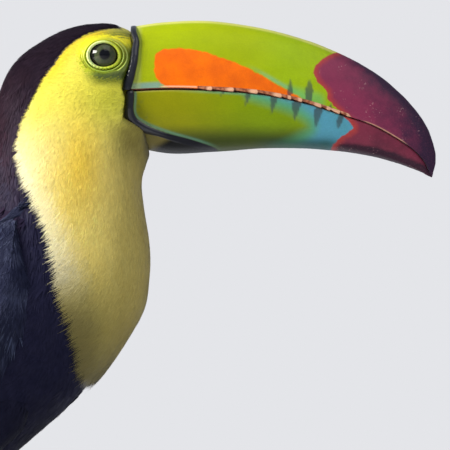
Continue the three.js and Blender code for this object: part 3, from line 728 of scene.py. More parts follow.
HIP = np.array([-60.0, 20.0, -145.0])
ANKLE = np.array([-79.0, 21.0, -172.0])
THIGH_RADIUS = np.array([14.0, 6.5])
WING_BEND, WING_TIP = np.array([-47.0, -62.0]), np.array([-139.0, -233.0])
WING_UPPER_EDGE = [10, 24, 25, 23, 20, 17, 12, 4]
WING_LOWER_EDGE = [5, -8.5, -13.6, -13.4, -10.5, -7, -3.6, -2]
WING_HALF_WIDTH = [40, 43.6, 45.2, 44.2, 40.6, 33.6, 24, 16.5]
WING_AXIS = (WING_TIP - WING_BEND) / np.linalg.norm(WING_TIP - WING_BEND)
WING_ACROSS = np.array([WING_AXIS[1], -WING_AXIS[0]])


def thigh_radius(t):
    """How thick the feathered thigh is: it tapers evenly from the hip, t 0, to the heel, 1."""
    return THIGH_RADIUS[0] + (THIGH_RADIUS[1] - THIGH_RADIUS[0]) * t


def tube(middles, radii, sides):
    """Rings of a round tube about a line of points; radii holds one radius a ring, or one a point."""
    ahead = np.gradient(middles, axis=0)
    ahead /= np.linalg.norm(ahead, axis=1)[:, None]
    across = np.cross([0.0, 1.0, 0.0], ahead)
    across /= np.linalg.norm(across, axis=1)[:, None]
    up = np.cross(ahead, across)
    angle = np.linspace(0, 2 * np.pi, sides, endpoint=False)
    radii = np.reshape(radii, (len(middles), -1, 1))
    spokes = across[:, None] * np.cos(angle)[:, None] + up[:, None] * np.sin(angle)[:, None]
    return middles[:, None] + spokes * radii


def wing_point(t, share, inward=0.0):
    """A point of the left folded wing: t runs from the bend to the tip, share from the lower edge to
    the upper one, and inward from the outer face, 0, to the inner one, 1. It lies on a long oval that
    draws in beside the rump."""
    t, share, inward = alike(t, share, inward)
    lower, upper = spline(WING_LOWER_EDGE, t), spline(WING_UPPER_EDGE, t)
    height = lower + (upper - lower) * share
    off_middle = (height - (-15 + 19 * t)) / (52 - 30 * t)
    out = spline(WING_HALF_WIDTH, t) * np.sqrt(np.clip(1 - off_middle ** 2, 0, 1)) - inward * (9 - 6 * t)
    out = out * (1 - 0.33 * smooth(t, 0.38, 0.75))
    flat = WING_BEND + (WING_TIP - WING_BEND) * t[..., None] + WING_ACROSS * height[..., None]
    return from_side(flat, out)


thigh_t = np.linspace(-0.25, 1, 24)
thigh_middles = HIP + (ANKLE - HIP) * thigh_t[:, None]
thigh_radii = thigh_radius(thigh_t) - 3.0 - 9.0 * smooth(-thigh_t, -0.15, 0.2)
thigh_points, thigh_faces = closed(tube(thigh_middles, thigh_radii, 32))
arm_t = np.linspace(0.03, 0.52, 30)[:, None]
arm_out = wing_point(arm_t, np.linspace(0.10, 0.66, 16)[None, :], 0.4)
arm_in = wing_point(arm_t, np.linspace(0.66, 0.10, 16)[None, :], 0.9)
arm_points, arm_faces = closed(np.concatenate([arm_out, arm_in], axis=1))


def mirrored(part):
    """A part's other-hand copy: its faces are turned round so that they still look out, and its places on
    the OFBake map lie on the other half."""
    points, faces, colours, uv, *rest = part
    rest = [values * [1, -1, 1] if values.shape[1] == 3 else values for values in rest]
    return (points * [1, -1, 1], turned_over(faces), colours, uv * [-1, 1] + [1, 0], *rest)


black_skin = linear(0.07, 0.066, 0.085)
patches = [(lid_points, lid_faces[:, ::-1], lid_colour, lid_uv)]
for points, faces, corner_uv in ((thigh_points, thigh_faces, 0.02), (arm_points, arm_faces, 0.06)):
    plain_uv = corner_uv + points[:, [0, 2]] * 1e-4
    patches.append((points, faces, np.tile(black_skin, (len(points), 1)), plain_uv))
patches += [mirrored(patch) for patch in patches]
patches.append((hide_points, hide_faces, hide_colour, hide_uv))


def gathered(pieces):
    """Points, faces and values of several surfaces as those of one."""
    starts = np.cumsum([0] + [len(piece[0]) for piece in pieces[:-1]])
    width = max(piece[1].shape[1] for piece in pieces)
    faces = []
    for start, piece in zip(starts, pieces):
        moved = np.where(piece[1] < 0, -1, piece[1] + start)
        faces.append(np.pad(moved, ((0, 0), (0, width - moved.shape[1])), constant_values=-1))
    rest = [np.concatenate([piece[k] for piece in pieces]) for k in range(2, len(pieces[0]))]
    return np.concatenate([piece[0] for piece in pieces]), np.concatenate(faces), *rest


def hold(piece, name, kind, values):
    """Gives a piece a value at each point: a number, a direction or a colour."""
    field = {"FLOAT": "value", "FLOAT_VECTOR": "vector", "FLOAT_COLOR": "color"}[kind]
    attribute = piece.data.attributes.new(name, kind, "POINT")
    attribute.data.foreach_set(field, values.astype(np.float32).ravel())


def dress(piece, colours, uv):
    """Gives a piece its colour at each point, called tint, and its OFBake map."""
    hold(piece, "tint", "FLOAT_COLOR", np.pad(colours, ((0, 0), (0, 1)), constant_values=1))
    corner_points = np.zeros(len(piece.data.loops), np.int32)
    piece.data.loops.foreach_get("vertex_index", corner_points)
    layer = piece.data.uv_layers.new(name="OFBake")
    layer.data.foreach_set("uv", np.clip(uv, 0, 1)[corner_points].astype(np.float32).ravel())


def point_value(material, name, kind="Fac"):
    """A value that the mesh holds at each point: Fac is a number, Color and Vector are three."""
    return node(material, "ShaderNodeAttribute", attribute_name=name).outputs[kind]


bird_skin = new_material("bird_skin", Roughness=0.5, Subsurface_Weight=0.06, Subsurface_Scale=0.002)
pebbles = noise(bird_skin, place(bird_skin), 0.55, 3.0, 0.6)
skin_tone = coats(bird_skin, point_value(bird_skin, "tint", "Color"), [
    (pebbles, 0.25, 0.75, 0.5, (0.62, 0.62, 0.45), "MULTIPLY"),
])
finish(bird_skin, skin_tone, bump(bird_skin, pebbles, 0.12))
skin_points, skin_faces, skin_colours, skin_uv = gathered(patches)
skin = build("skin", skin_points + GAPE, skin_faces, bird_skin)
dress(skin, skin_colours, skin_uv)
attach(skin, "root")
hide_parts("head", "neck", "trunk", "rump", "thigh_left", "thigh_right")

# ---- Eyes ----
# Glass eyes set under the lids: dark olive with a black pupil, fine spokes in the iris and a darker
# ring round it, and a low dome over the front as a real cornea has. A painted shadow of the upper lid
# darkens the iris's upper rear edge. They are polished all over.
SIDES = (("left", 1), ("right", -1))
PUPIL_RADIUS = 2.4
IRIS_RADIUS = 5.1
CORNEA_RISE = 0.35


def reckon(material, operation, *values, vector=False):
    """A sum done in the shader with numbers or other nodes' outputs, such as ADD, SINE or LENGTH."""
    kind = "ShaderNodeVectorMath" if vector else "ShaderNodeMath"
    made = node(material, kind, enumerate(values), operation=operation)
    return made.outputs["Vector" if vector and operation != "LENGTH" else "Value"]


eye_glass = new_material("eye_glass", Roughness=0.05, IOR=1.38)
eye_ways = node(eye_glass, "ShaderNodeTexCoord").outputs["Object"]
pupil_at = (GAPE + [EYE[0] + 0.75, 0, EYE[2] - 0.55]) * MM
eye_ways = reckon(eye_glass, "SUBTRACT", eye_ways, tuple(pupil_at), vector=True)
eye_ways = reckon(eye_glass, "MULTIPLY", eye_ways, (1 / MM, 0, 1 / MM), vector=True)
off_pupil = reckon(eye_glass, "LENGTH", eye_ways, vector=True)
spokes = noise(eye_glass, reckon(eye_glass, "NORMALIZE", eye_ways, vector=True), 0.09, 3.0, 0.6)
iris_clouds = noise(eye_glass, eye_ways, 1.6, 3.0)
# Painted shadow of the upper lid: a dark crescent where the iris lies far from a centre moved forward and
# down.
brow_shadow_ways = reckon(eye_glass, "SUBTRACT", eye_ways, (0.75, 0.0, -0.6), vector=True)
brow_shadow_off = reckon(eye_glass, "LENGTH", brow_shadow_ways, vector=True)
iris_tone = blend(eye_glass, spokes, linear(0.17, 0.175, 0.12), linear(0.36, 0.37, 0.25))
iris_tone = coats(eye_glass, iris_tone, [(iris_clouds, 0.35, 0.65, 0.6, (0.20, 0.27, 0.17))])
pupil_share = step(eye_glass, off_pupil, PUPIL_RADIUS - 0.5, PUPIL_RADIUS + 0.5, 1, 0)
iris_tone = coats(eye_glass, blend(eye_glass, pupil_share, iris_tone, linear(0.035, 0.04, 0.06)), [
    (off_pupil, IRIS_RADIUS - 0.5, IRIS_RADIUS + 0.25, 0.93, (0.045, 0.04, 0.035)),
    # painted shadow of the lid over the iris's upper rear edge
    (brow_shadow_off, 5.0, 5.7, 0.9, (0.05, 0.045, 0.05)),
])
into_shader(eye_glass, "Base Color", iris_tone)
ball_latitude = np.radians(np.linspace(0.4, 179.6, 72))[:, None]
ball_longitude = np.linspace(0, 2 * np.pi, 96, endpoint=False)[None, :]
for name, side in SIDES:
    dome = CORNEA_RISE * np.clip(1 - (np.degrees(ball_latitude) / 48) ** 2, 0, 1) + 0 * ball_longitude
    ball = np.stack([
        EYE_RADIUS * np.sin(ball_latitude) * np.cos(ball_longitude),
        side * (EYE_RADIUS * np.cos(ball_latitude) + dome),
        EYE_RADIUS * np.sin(ball_latitude) * np.sin(ball_longitude),
    ], -1) + EYE * [1, side, 1] + GAPE
    eye = build(f"eye_glass_{name}", *closed(ball), eye_glass)
    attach(eye, "root")
    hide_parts(f"eye_{name}")

# ---- Bill ----
# Two hollow sheaths of horn that close on each other. A raised glossy black band runs round the root of
# both and forward under the lower one; the upper one's cutting edge is notched into overlapping plates.
BILL_RIDGE = [
    [-5, 31], [12, 33.5], [33, 34.1], [56, 30.9], [77, 25.2], [95, 17.6], [110, 8.7], [122, -2.2],
    [130, -12.8], [134, -23.5], [134.5, -31], [132.7, -37.2],
]
BILL_EDGE = [
    [-5, -0.5], [14, 0.3], [34, -0.1], [56, -1.6], [76, -5.4], [92, -10.3], [106, -14.8], [117, -20.5],
    [125, -25.7], [129.4, -30.4], [131.4, -34], [132.7, -37.2],
]
BILL_KEEL = [
    [-5, -22], [14, -25.8], [35, -25.1], [57, -23.6], [76, -23.7], [92, -25.1], [105, -27.3], [116, -30.2],
    [123, -32.7], [128, -34.8], [130.4, -36.2], [132.7, -37.2],
]
BILL_HALF_WIDTH = [17.2, 17.4, 16.8, 15.4, 13.4, 11.2, 8.9, 6.6, 4.6, 2.8, 1.5, 0.3]
# Where the plates of the notched cutting edge start.
PLATE_STARTS = [27.2, 33.6, 43.6, 53.9, 64.8, 69.2, 73.9, 82.5, 86.6, 91.2, 96.5]
BAND_RISE = 1.9
ROOF_COLUMNS = 7  # points across the roof, or floor, that closes each half
# The black band's middle line seen from the side, with its half-width: over the upper half, then the lower.
UPPER_BAND = [
    [-2.3, 36, 0.9], [-1.9, 31, 1.15], [-1.4, 26.5, 1.35], [-0.3, 22, 1.5], [-0.8, 18, 1.75],
    [-1.3, 12.8, 1.8],
    [-2.1, 9, 1.85], [-2.9, 5.8, 2.0], [-3.9, 2.3, 2.0], [-4.4, -0.6, 1.6], [-4.5, -2, 1.3],
]
LOWER_BAND = [
    [-3.0, 1, 1.4], [-2.9, -1.8, 1.8], [-2.9, -4.6, 1.8], [-3.2, -8.1, 1.85], [-3.1, -11.6, 2.3],
    [-1.4, -14.8, 2.5], [3.2, -16.9, 1.75], [7, -18.2, 1.35], [10.5, -19.2, 1.1], [16, -20.9, 1.1],
    [22, -22.5, 1.15], [28, -24, 1.1], [34, -25.3, 0.8], [41, -26.6, 0.1],
]
BLAZE = [
    [7.9, 9.5], [8.1, 14.3], [10.2, 17.9], [17.2, 19.1], [24, 18.6], [30.8, 17.3], [37.4, 15.0], [44, 12.6],
    [50.8, 9.4], [57.5, 5.8], [63, 2.6], [69, -0.6], [74, -4.2], [60, -6], [40, -4], [20, -1],
    [12, 2.0], [9.1, 5.0],
]
UPPER_TIP = [
    [93.5, 22], [91.0, 19.6], [87.4, 18.0], [83.6, 15.4], [80.6, 12.2], [79.7, 8.4], [80.8, 5.0], [83.8, 1.9],
    [85.8, -0.8], [85.9, -3.4], [88.2, -6.0], [94, -11.5], [100, -17],
]
LOWER_TIP = [
    [90, -7], [93.5, -11.4], [96.0, -13.9], [97.4, -16.6], [94.4, -18.8], [90.8, -21.0], [88.4, -23.6],
    [86.6, -26], [84, -30],
]
BLUE_FRONT = [
    [52, -1], [60, -3.4], [68, -6.0], [75, -9.2], [79.5, -13.5], [79.5, -18.5], [74, -22.3], [66, -26],
    [60, -29],
]


def bill_point(t, turn):
    """A point of the bill, from the gape: t runs from the root to the tip, and turn goes round, from 0 at
    the left cutting edge over the ridge to pi at the right one and on under the keel. Each half of a
    section is a flattened oval: the sine to a power raises it and the cosine to a power widens it."""
    t, turn = alike(t, turn)
    up = np.sin(turn) > 0
    rise, spread = np.where(up, 0.94, 0.8), np.where(up, 0.84, 0.74)
    ends = np.where(up[..., None], spline(BILL_RIDGE, t, True), spline(BILL_KEEL, t, True))
    edge = spline(BILL_EDGE, t, True)
    flat = edge + (ends - edge) * (np.abs(np.sin(turn)) ** rise)[..., None]
    side = spline(BILL_HALF_WIDTH, t) * np.sign(np.cos(turn)) * np.abs(np.cos(turn)) ** spread
    shrink = 1 + np.minimum(t, 0) * 2.2
    flat = edge + (flat - edge) * shrink[..., None] + np.minimum(t, 0)[..., None] * [150, 0]
    return from_side(flat, side * shrink)


def from_line(x, z, line):
    """How far places seen from the side lie from a smooth line, and on which side of it: left of its
    run is positive. The line's third value, if it has one, comes back at the nearest place."""
    smooth_line = spline(line, np.linspace(0, 1, 12 * len(line)), True)
    start, run = smooth_line[:-1, :2], np.diff(smooth_line[:, :2], axis=0)
    to_x, to_z = x.reshape(-1, 1) - start[:, 0], z.reshape(-1, 1) - start[:, 1]
    share = np.clip((to_x * run[:, 0] + to_z * run[:, 1]) / (run ** 2).sum(1), 0, 1)
    off_x, off_z = to_x - share * run[:, 0], to_z - share * run[:, 1]
    away = np.hypot(off_x, off_z)
    nearest = away.argmin(1)
    row = np.arange(len(away))
    side = np.sign(run[nearest, 0] * off_z[row, nearest] - run[nearest, 1] * off_x[row, nearest])
    value = smooth_line[nearest, 2] if smooth_line.shape[1] > 2 else 0 * side
    return away[row, nearest].reshape(x.shape), side.reshape(x.shape), value.reshape(x.shape)


def from_outline(x, z, outline):
    """How far inside a smooth closed outline places lie, below 0 outside it."""
    loop = np.array([*outline, outline[0], outline[1], outline[2]], float)
    ring = spline(loop, np.linspace(1 / (len(loop) - 1), 1 - 1 / (len(loop) - 1), 10 * len(outline)))
    away, _, _ = from_line(x, z, ring)
    ahead = np.roll(ring, -1, axis=0)
    flat_x, flat_z = x.reshape(-1, 1), z.reshape(-1, 1)
    crossing = (ring[:, 1] > flat_z) != (ahead[:, 1] > flat_z)
    rise = np.where(ahead[:, 1] == ring[:, 1], 1, ahead[:, 1] - ring[:, 1])
    meets = ring[:, 0] + (flat_z - ring[:, 1]) * (ahead[:, 0] - ring[:, 0]) / rise
    within = (crossing & (flat_x < meets)).sum(1) % 2 == 1
    return np.where(within.reshape(x.shape), away, -away)


def bill_marks(x, z, half):
    """The dark tooth marks beside the cutting edge, 1 in their middles and 0 outside: each is a wedge
    that narrows away from the edge."""
    if half == "upper":
        wedges = [(68.8, -1.5, 6.6, 2.6, 0.15), (77.3, -4.2, 6.6, 4.0, 0.42), (87, -8, -4.5, 1.8, 0.1)]
    else:
        wedges = [
            (38.4, -0.6, -3.9, 1.6, 0.1), (49.6, -1.6, -8.4, 2.8, 0.1), (61.2, -2.8, -12.2, 3.7, 0.12),
            (71.5, -4.4, -14.8, 4.4, 0.14), (81.2, -7.4, -17.4, 4.4, 0.2), (91.2, -10.4, -17.8, 3.0, 0.45),
        ]
    found = np.zeros(x.shape)
    for middle, root, tip, width, widest in wedges:
        along = (z - root) / (tip - root)
        ahead = (np.maximum(1 - along, 0) / (1 - widest)) ** 0.85
        narrow = np.where(along < widest, 0.72 + 0.28 * along / widest, ahead)
        narrow = np.where((along < -0.1) | (along > 1), 0, narrow)
        reach = narrow * width / 2 + 0.2 * lumps(np.stack([x, 0 * x, z * 0.5], -1), 1.6, int(middle))
        lean = middle + (0.5 if half == "upper" else -1.5) * (along - 0.3)
        soft = 0.35 + 0.5 * along
        shown = smooth(reach - np.abs(x - lean), -soft, soft) * smooth(narrow, 0.0, 0.3)
        found = np.maximum(found, shown * (1 - 0.35 * along))
    return found


def bill_half(half, columns, rows):
    """One half of the bill as a closed surface, with the values its colours are worked out from. The
    cutting edge is turned in to a nearly flat roof, or floor, that closes it."""
    at_root = np.linspace(-0.034, 0.06, rows // 4, endpoint=False)
    t = np.concatenate([at_root, 0.06 + 0.94 * np.linspace(0, 1, rows) ** 0.93])
    share = np.linspace(0, 1, columns)
    turn = np.pi * (0.5 * share + 0.25 * (1 - np.cos(np.pi * share))) + (np.pi if half == "lower" else 0)
    t, turn = np.meshgrid(t * 0.9985, turn, indexing="ij")
    points = bill_point(t, turn)
    x, z = points[..., 0], points[..., 2]
    edge = spline(BILL_EDGE, t, True)
    off_edge = np.abs(z - edge[..., 1])
    little = 1e-3
    by_t = bill_point(t + little, turn) - bill_point(t - little, turn)
    by_turn = bill_point(t, turn + little) - bill_point(t, turn - little)
    outward = np.cross(by_turn, by_t)
    outward /= np.maximum(np.linalg.norm(outward, axis=-1), 1e-9)[..., None]
    from_middle = points - from_side(edge, 0 * t)
    outward *= np.sign((outward * from_middle).sum(-1) + 1e-9)[..., None]
    away, side, half_width = from_line(x, z, UPPER_BAND if half == "upper" else LOWER_BAND)
    band = half_width - away
    crown = np.sqrt(np.clip(1 - (away / (half_width + 0.25)) ** 2, 0, 1))
    relief = BAND_RISE * (1 - 0.8 * smooth(z, 26, 32)) * (1 - smooth(x, 10, 24)) * crown
    relief += 0.05 * lumps(points * [0.25, 1, 1], 5.0, 21) + 0.03 * lumps(points, 2.0, 22)
    relief *= smooth(1 - t, 0.005, 0.05)
    under_skin = smooth(-side * away - half_width, -0.3, 0.8)
    if half == "lower":
        under_skin *= smooth(-x, -2, 2.5)
    relief -= 3.0 * under_skin
    plate = np.interp(x, PLATE_STARTS, np.arange(len(PLATE_STARTS))) % 1
    plated = smooth(x, PLATE_STARTS[0] - 0.6, PLATE_STARTS[0] + 0.6)
    plated = plated * smooth(-x, -PLATE_STARTS[-1], 3 - PLATE_STARTS[-1])
    if half == "upper":
        near = np.exp(-(off_edge ** 4))
        relief += near * (0.22 + plated * (0.15 + 0.35 * plate))
        points[..., 2] -= near * plated * (0.75 * plate - 0.25)
    else:
        near = bell(off_edge, 0, 0.8) * smooth(1 - t, 0.03, 0.12)
        relief -= 0.5 * near
        points[..., 2] -= 0.28 * near
    points += outward * relief[..., None]
    inner_share = np.linspace(0, 1, ROOF_COLUMNS + 2)[1:-1][None, :, None]
    from_right, to_left = points[:, -1:], points[:, :1]
    roof = from_right + (to_left - from_right) * inner_share
    vault = np.minimum(1.5, np.abs(points[:, :1, 1]) * 0.2) * np.sin(np.pi * inner_share[..., 0])
    roof[..., 2] += vault * (1 if half == "upper" else -1)
    rings = np.concatenate([points, roof], axis=1)
    band = np.where(under_skin > 0, 1.0, band)
    values = dict(x=x, z=z, t=t, off_edge=off_edge, band=band, side=side, away=away)
    values.update(plate=plate, plated=plated)
    spare = [(0, 0), (0, ROOF_COLUMNS)]
    return rings, {key: np.pad(value, spare, mode="edge") for key, value in values.items()}


def flat_values(values):
    """A grid of values as those of a closed surface's points: the grid, then the two end points."""
    return np.concatenate([values.reshape(-1, *values.shape[2:]), values[:1].mean(1), values[-1:].mean(1)])


def upper_horn(v):
    """The upper half's ground colour: lime along the ridge and greener below, dull at the root, with a
    pale ridge line, partly its own colour and partly a painted highlight, and a turquoise strip above the
    cutting edge at the root and in front."""
    x, z, off = v["x"], v["z"], v["off_edge"]
    ridge = spline(BILL_RIDGE, v["t"], True)[..., 1] - z
    blaze = from_outline(x, z, BLAZE)
    rim = bell(blaze, -1.1, 0.9) * smooth(x, 48, 64)
    # Partly a painted highlight: the pale line along the ridge is the culmen's own yellowish stripe and the
    # lamp's glint on it.
    ridge_line_and_highlight = smooth(-ridge, -2.6, -1.3) * smooth(v["x"], -3, 3)
    between = smooth(x, 66, 69) * smooth(-x, -86, -82) * smooth(-off, -8, -3.5)
    horn = painted((0.66, 0.73, 0.005), [
        (smooth(ridge, 2, 16), (0.63, 0.70, 0.005)),
        (0.7 * smooth(-x, -15, 3), (0.62, 0.66, 0.06)),
        (0.5 * smooth(x, 45, 70), (0.62, 0.77, 0.08)),
        (0.9 * smooth(-off, -3.8, -2.4) * smooth(-x, -15, -9), (0.50, 0.64, 0.60)),
        (0.4 * smooth(-v["band"], -0.8, 0) * smooth(-x, -3, -0.5), (0.72, 0.76, 0.45)),
        (0.75 * rim, (0.50, 0.74, 0.55)),
        (0.8 * between, (0.47, 0.74, 0.36)),
    ])
    return tone(0.75 * ridge_line_and_highlight, horn, linear(0.93, 0.92, 0.50)), blaze


def lower_horn(v):
    """The lower half's ground colour: olive-lime, greener forward, dark green beneath as painted shade,
    turquoise along the edges, and sky blue in front of a slanting line, dark teal beneath as painted
    shade too."""
    x, z, off = v["x"], v["z"], v["off_edge"]
    away, side, _ = from_line(x, z, BLUE_FRONT)
    to_blue = away * side
    under = smooth(-v["side"] * v["away"], 0, 1.0) * smooth(x, -6, 0) * smooth(-x, -46, -36)
    lip = bell(v["band"], -0.55, 0.6) * smooth(v["side"], -0.5, 0.5) * smooth(-x, -40, -28)
    spots = smooth(lumps(np.stack([x, 0 * x, z], -1), 3.2, 33), 0.35, 0.8) * bell(v["band"], -2.6, 1.6)
    horn = painted((0.565, 0.565, 0.01), [
        (smooth(x, 12, 62), (0.50, 0.605, 0.01)),
        # Painted shade: dark green on the underside.
        (0.9 * smooth(-z, 14.5, 22.5), (0.24, 0.29, 0.11)),
        (0.8 * smooth(-off, -2.2, -0.6) * smooth(x, 14, 42), (0.43, 0.70, 0.55)),
        (0.85 * smooth(-off, -1.0, -0.5) * smooth(-x, -30, -12), (0.84, 0.84, 0.48)),
        (smooth(to_blue, -6.5, -0.5), (0.36, 0.64, 0.45)),
        (smooth(to_blue, -2.5, 3.5), (0.34, 0.62, 0.72)),
        # Painted shade: the blue's underside is darkened to teal.
        (0.8 * smooth(-z, 19.5, 23.5) * smooth(x, 50, 66) * smooth(-x, -98, -84), (0.15, 0.31, 0.27)),
        (under * smooth(-z - 0.16 * x, 16, 19), (0.50, 0.46, 0.27)),
        (under * smooth(x + 2.2 * (-z - 24), 6, 13), (0.085, 0.09, 0.105)),
        (0.75 * lip, (0.42, 0.62, 0.52)),
    ])
    return tone(0.25 * spots * smooth(-x, -14, -4), horn, linear(0.30, 0.40, 0.25))


def paint_bill(half, v):
    """Puts together a half's point values: its ground colour, how much of each marking lies there, and how
    much painted shade darkens the maroon tip.
    """
    x, z = v["x"], v["z"]
    if half == "upper":
        horn, blaze = upper_horn(v)
        ridge = spline(BILL_RIDGE, v["t"], True)[..., 1] - z
        away, side, _ = from_line(x, z, UPPER_TIP)
        # Painted shade: the maroon darkens towards the tip and up at the ridge, where it turns from the lamp.
        maroon_shade = smooth(away * side, 2, 32) * 0.95 + 0.45 * smooth(-ridge, -7, 0)
    else:
        horn, blaze = lower_horn(v), np.full(x.shape, -9.0)
        above_keel = z - spline(BILL_KEEL, v["t"], True)[..., 1]
        away, side, _ = from_line(x, z, LOWER_TIP)
        # Painted shade: the lower maroon darkens towards the keel and the tip.
        maroon_shade = 1.1 * smooth(-above_keel, -4.2, -0.6) + 0.35 * smooth(away * side, 2, 16)
    polish = 0.9 * smooth(v["band"], -0.3, 0.15) * (1 - smooth(x, 4, 18))
    return horn, {
        "blaze": blaze, "tip": away * side, "band": v["band"], "marks": bill_marks(x, z, half), "maroon_shade": maroon_shade,
        "polish": polish,
    }


def bill_material(half):
    """Satin horn. The markings' edges waver a little; the maroon is mottled, scratched and flecked, and
    painted darker where it lies in shade; the band is glossy black, and fine fibres run along the whole."""
    horn = new_material(f"horn_{half}", Roughness=0.36, Specular_IOR_Level=0.16, Coat_Roughness=0.13)
    where = place(horn)
    grain = noise(horn, where, 0.5, 2.0, 0.6)
    clouds = noise(horn, where, 9.0, 4.0, 0.55)
    fibre = noise(horn, place(horn, (0.05, 1.0, 1.0)), 0.6, 3.0, 0.6)
    waver = step(horn, noise(horn, where, 3.0, 3.0, 0.55), 0.2, 0.8, -0.4, 0.4)
    shade = point_value(horn, "tint", "Color")
    shade = coats(horn, shade, [
        (grain, 0.25, 0.75, 0.28, (0.62, 0.66, 0.5), "MULTIPLY"),
        (clouds, 0.35, 0.7, 0.3, (0.74, 0.80, 0.6), "MULTIPLY"),
        (fibre, 0.35, 0.75, 0.08, (0.75, 0.78, 0.6), "MULTIPLY"),
    ])
    orange = blend(horn, step(horn, clouds, 0.3, 0.7), linear(0.98, 0.46, 0.02), linear(0.90, 0.40, 0.05))
    orange = coats(horn, orange, [(grain, 0.3, 0.7, 0.3, (0.8, 0.55, 0.4), "MULTIPLY")])
    blazing = reckon(horn, "ADD", point_value(horn, "blaze"), waver)
    shade = coats(horn, shade, [
        (blazing, -0.55, 0.45, 1, orange),
        (point_value(horn, "marks"), 0.1, 0.95, 0.78, (0.24, 0.28, 0.28)),
    ])
    # Painted shade on the maroon, with a little cloud at random: it goes from the lit colour to the shaded
    # one.
    maroon_shade = reckon(horn, "ADD", point_value(horn, "maroon_shade"), step(horn, clouds, 0.3, 0.7, -0.2, 0.2))
    if half == "upper":
        maroon_lit_and_shaded = linear(0.53, 0.20, 0.32), linear(0.22, 0.145, 0.24)
    else:
        maroon_lit_and_shaded = linear(0.49, 0.19, 0.27), linear(0.20, 0.11, 0.17)
    scratches = noise(horn, place(horn, (0.35, 1.0, 1.6)), 0.9, 4.0, 0.75, 1.2)
    flecks = noise(horn, where, 0.75, 2.0, 0.55)
    patches = step(horn, noise(horn, where, 7.0, 2.0), 0.55, 0.62)
    flecked = reckon(horn, "MULTIPLY", step(horn, flecks, 0.62, 0.69), patches)
    maroon = coats(horn, blend(horn, step(horn, maroon_shade, 0.0, 1.0), *maroon_lit_and_shaded), [
        (grain, 0.45, 0.8, 0.2, (0.62, 0.30, 0.40)),
        (scratches, 0.64, 0.74, 0.4, (0.58, 0.38, 0.42)),
        (flecked, 0, 1, 0.6, (0.80, 0.62, 0.62)),
    ])
    tipping = reckon(horn, "ADD", point_value(horn, "tip"), waver)
    rim = blend(horn, step(horn, tipping, 0.0, 3.4), linear(0.68, 0.25, 0.24), maroon)
    worn = step(horn, noise(horn, where, 1.4, 3.0), 0.35, 0.65)
    plates = blend(horn, worn, linear(0.50, 0.27, 0.18), linear(0.70, 0.44, 0.31))
    dark_edge = blend(horn, step(horn, grain, 0.3, 0.7), linear(0.30, 0.14, 0.10), linear(0.48, 0.27, 0.20))
    shade = coats(horn, shade, [
        (tipping, -0.5, 0.3, 1, rim),
        (point_value(horn, "plates"), 0.35, 0.65, 1, plates),
        (point_value(horn, "seam"), 0.3, 0.7, 1, dark_edge),
        (point_value(horn, "cream"), 0.25, 0.8, 0.9, (0.90, 0.70, 0.56)),
    ])
    black = blend(horn, step(horn, clouds, 0.3, 0.7), linear(0.085, 0.09, 0.12), linear(0.12, 0.125, 0.16))
    banded = step(horn, point_value(horn, "band"), -0.3, 0.15)
    into_shader(horn, "Base Color", blend(horn, banded, shade, black))
    into_shader(horn, "Roughness", step(horn, grain, 0.2, 0.8, 0.32, 0.46))
    into_shader(horn, "Coat Weight", point_value(horn, "polish"))
    relief = bump(horn, fibre, 0.02, bump(horn, grain, 0.03))
    into_shader(horn, "Normal", bump(horn, step(horn, scratches, 0.55, 0.75), -0.025, relief))
    return horn


for half, columns, rows, node_name in (("upper", 150, 250, "upper_bill"), ("lower", 116, 230, "lower_bill")):
    rings, v = bill_half(half, columns, rows)
    ground, markings = paint_bill(half, v)
    x, off_edge, plate, plated = (v[key] for key in ("x", "off_edge", "plate", "plated"))
    if half == "upper":
        plates = smooth(-off_edge, -1.7, -1.2) * plated
        edge_line = smooth(-off_edge, -0.6, -0.35) * smooth(-x, -40, -20)
        seam = np.maximum(plates * smooth(-plate, -0.12, -0.02), edge_line)
        broken = smooth(lumps(np.stack([x, 0 * x, v["z"]], -1), 2.6, 34), -0.25, 0.3)
        cream = np.maximum.reduce([
            plates * smooth(plate, 0.35, 0.95),
            bell(off_edge, 1.0, 0.45) * smooth(x, 8, 13) * (1 - plated) * smooth(-x, -30, -28),
            broken * smooth(-off_edge, -1.6, -1.0) * smooth(x, 84, 88) * smooth(-x, -104, -98),
            0.55 * smooth(-off_edge, -0.9, -0.5) * smooth(x, 98, 104) * smooth(-x, -127, -118),
        ])
    else:
        plates = cream = 0 * x
        seam = smooth(-off_edge, -0.3, -0.15) * smooth(-x, -110, -90)
    markings.update(plates=plates, seam=seam, cream=cream)
    piece = build(f"bill_{half}", *closed(rings + GAPE), bill_material(half))
    across_v = np.broadcast_to(np.linspace(0, 1, rings.shape[1]), rings.shape[:2])
    dress(piece, flat_values(ground), np.stack([flat_values(v["t"]) * 0.9 + 0.05, flat_values(across_v)], -1))
    for name, values in markings.items():
        hold(piece, name, "FLOAT", flat_values(values))
    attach(piece, "root")
    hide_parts(node_name)

# ---- Yellow bib ----
# Soft yellow feathers from the face to the lower breast, in tufts of fine barbs: very short round the bare
# face, longer down the throat. Along the bib's edge they lie back over the black ones in a ragged fringe.
TUFT_PATCH = 0.003  # how wide a tuft is on the OFBake map
EVEN_STEPS = (0.8191725134, 0.6710436067, 0.5497004779)  # powers of one number, so no two runs line up


def slopes(surface, t, across):
    """How a surface's point moves, in millimetres, with each of its two values."""
    little = 1e-3
    t = np.clip(t, 2 * little, 1 - 2 * little)
    by_t = surface(t + little, across, 0.5) - surface(t - little, across, 0.5)
    by_across = surface(t, across + little, 0.5) - surface(t, across - little, 0.5)
    return by_t / (2 * little), by_across / (2 * little)


